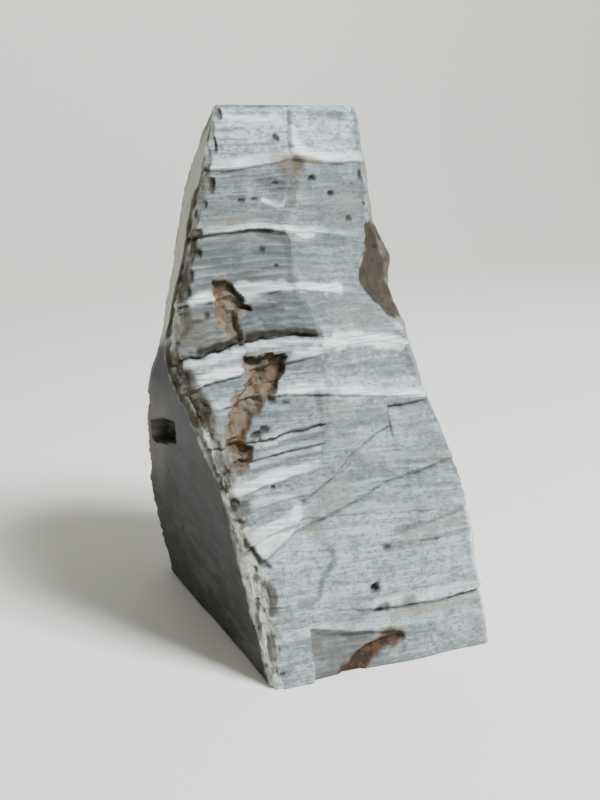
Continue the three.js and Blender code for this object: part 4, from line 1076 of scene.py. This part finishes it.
# Fine surface, too small for the mesh: grain about 1 mm across all over and thin sheets on the front.
GRAIN_SIZE = 10 / 9
SHEET_LENGTH = 20 / 3       # before FLAT squeezes it upwards and draws it out sideways
GRAIN_SHARE = 0.5           # depth of the grain against that of the sheets
FINE_DEPTH = 0.0004         # metres


def split_soapstone():
    """Soapstone (steatite), split and chopped, then left to weather: a matt, pale blue-grey stone with
    thin darker sheets along its layers, chalky white bruises and painted highlight on the chopped lips,
    dirt and painted shade in the cracks, brown iron stain in the hollows and a dark smooth weathered
    skin on one side, which is partly painted shade."""
    material = bpy.data.materials.new("split soapstone")
    material.use_nodes = True
    tree = material.node_tree
    tree.nodes.clear()
    place = add(tree, "ShaderNodeTexCoord").outputs["Object"]

    clean = add(tree, "ShaderNodeRGB")
    clean.outputs[0].default_value = srgb(STONE_COLOUR)
    colour = clean.outputs[0]
    for number, (mark, size, stretch, low, high, least, most, coat) in enumerate(COATS):
        squeezed = add(tree, "ShaderNodeMapping", links={"Vector": place},
                       values={"Scale": stretch, "Location": (COAT_SHIFT * number, 0, 0)})
        pattern = add(tree, "ShaderNodeTexNoise", links={"Vector": squeezed.outputs[0]},
                      values={"Scale": 1 / (size * MM), "Detail": 4.0, "Roughness": 0.6})
        amount = add(tree, "ShaderNodeMapRange", {"interpolation_type": "SMOOTHSTEP"},
                     {"Value": pattern.outputs["Fac"]},
                     {"From Min": low, "From Max": high, "To Min": least, "To Max": most})
        painted = add(tree, "ShaderNodeAttribute", {"attribute_name": mark})
        share = add(tree, "ShaderNodeMath", {"operation": "MULTIPLY"},
                    {0: amount.outputs["Result"], 1: painted.outputs["Fac"]})
        laid = add(tree, "ShaderNodeMix", {"data_type": "RGBA"}, {0: share.outputs[0], 6: colour},
                   {7: srgb(coat)})
        colour = laid.outputs[2]

    flat = add(tree, "ShaderNodeMapping", links={"Vector": place}, values={"Scale": FLAT})
    grain = add(tree, "ShaderNodeTexNoise", links={"Vector": place},
                values={"Scale": 1 / (GRAIN_SIZE * MM), "Detail": 3.0, "Roughness": 0.6})
    sheets = add(tree, "ShaderNodeTexNoise", links={"Vector": flat.outputs[0]},
                 values={"Scale": 1 / (SHEET_LENGTH * MM), "Detail": 3.0, "Roughness": 0.6})
    front = add(tree, "ShaderNodeAttribute", {"attribute_name": "front"})
    streaks = add(tree, "ShaderNodeMath", {"operation": "MULTIPLY"},
                  {0: sheets.outputs["Fac"], 1: front.outputs["Fac"]})
    height = add(tree, "ShaderNodeMath", {"operation": "MULTIPLY_ADD"},
                 {0: grain.outputs["Fac"], 2: streaks.outputs[0]}, {1: GRAIN_SHARE})
    bump = add(tree, "ShaderNodeBump", links={"Height": height.outputs[0]},
               values={"Distance": FINE_DEPTH, "Strength": 0.8})
    surface = add(tree, "ShaderNodeBsdfPrincipled",
                  links={"Base Color": colour, "Normal": bump.outputs[0]},
                  values={"Roughness": 0.75, "IOR": 1.55, "Specular IOR Level": 0.4})
    add(tree, "ShaderNodeOutputMaterial", links={"Surface": surface.outputs[0]})
    return material


def pale_floor():
    """Painted board, rolled matt: plain and pale, so that it only takes the stone's soft shadow."""
    material = bpy.data.materials.new("pale painted board")
    material.use_nodes = True
    surface = material.node_tree.nodes["Principled BSDF"]
    surface.inputs["Base Color"].default_value = srgb("#fbfbf2")
    surface.inputs["Roughness"].default_value = 0.9
    return material


# ---- stage, light and camera, in metres ------------------------------------------------------------

EYE = Vector((-0.1451, -0.3142, 0.175))   # 0.35 m in front of the block, just under its top
EYE_TURN = math.atan2(0.398, 0.917)       # to the right of straight ahead
EYE_DIP = math.atan(0.28)                 # downwards
LENS, FILM = 45.5, 36.0                   # focal length and long side of the frame, mm

FLOOR_HALF_WIDTH = 1.8
FLOOR_FRONT = -1.5          # y of the floor's front edge
FLOOR_BEND = 0.75           # y at which it starts to curve up
BEND_RADIUS = 0.35
BEND_STEPS = 12
BACK_HEIGHT = 1.6

SOFT_BOX = dict(place=(0.5, -0.5, 1.15), aim=(0, 0, 0.09), size=0.4, power=34, colour="#f6f9ff")
ROOM_COLOUR, ROOM_LIGHT = "#e6e3da", 0.35


def floor():
    """A pale sheet under the block that runs back and curves up behind it: a profile of flat, quarter
    round and upright, carried along X."""
    turn = np.linspace(0, math.pi / 2, BEND_STEPS + 1)
    back, up = FLOOR_BEND + BEND_RADIUS * np.sin(turn), BEND_RADIUS * (1 - np.cos(turn))
    profile = np.concatenate([[(FLOOR_FRONT, 0)], np.stack([back, up], -1), [(back[-1], BACK_HEIGHT)]])
    sides = (-FLOOR_HALF_WIDTH, FLOOR_HALF_WIDTH)
    points = np.array([[(x, y, z) for y, z in profile] for x in sides]).reshape(-1, 3)
    count = len(profile)
    step = np.arange(count - 1)
    faces = np.stack([step, step + count, step + count + 1, step + 1], -1)
    mesh = bpy.data.meshes.new("floor")
    mesh.from_pydata(points.tolist(), [], faces.tolist())
    mesh.shade_smooth()
    mesh.materials.append(pale_floor())
    linked(bpy.data.objects.new("floor", mesh))


def soft_light(name, place, aim, size, power, colour):
    """A square soft box that faces its aim."""
    lamp = bpy.data.lights.new(name, "AREA")
    lamp.size = size
    lamp.energy = power
    lamp.color = srgb(colour)[:3]
    box = linked(bpy.data.objects.new(name, lamp))
    box.location = place
    box.rotation_euler = (Vector(aim) - Vector(place)).to_track_quat("-Z", "Y").to_euler()


def light_and_camera():
    """One soft box above on the right, an evenly lit room, and the camera."""
    soft_light("overhead", **SOFT_BOX)
    world = bpy.data.worlds.new("studio")
    world.use_nodes = True
    background = world.node_tree.nodes["Background"]
    background.inputs["Color"].default_value = srgb(ROOM_COLOUR)
    background.inputs["Strength"].default_value = ROOM_LIGHT
    bpy.context.scene.world = world
    lens = bpy.data.cameras.new("camera")
    lens.lens = LENS
    lens.sensor_width = FILM
    camera = linked(bpy.data.objects.new("camera", lens))
    camera.location = EYE
    camera.rotation_euler = (math.pi / 2 - EYE_DIP, 0, -EYE_TURN)
    bpy.context.scene.camera = camera


# ---- build -----------------------------------------------------------------------------------------

floor()
light_and_camera()
stone = block_mesh("soapstone_block")
stone.data.materials.append(split_soapstone())
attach(stone, "root")
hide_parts("soapstone")
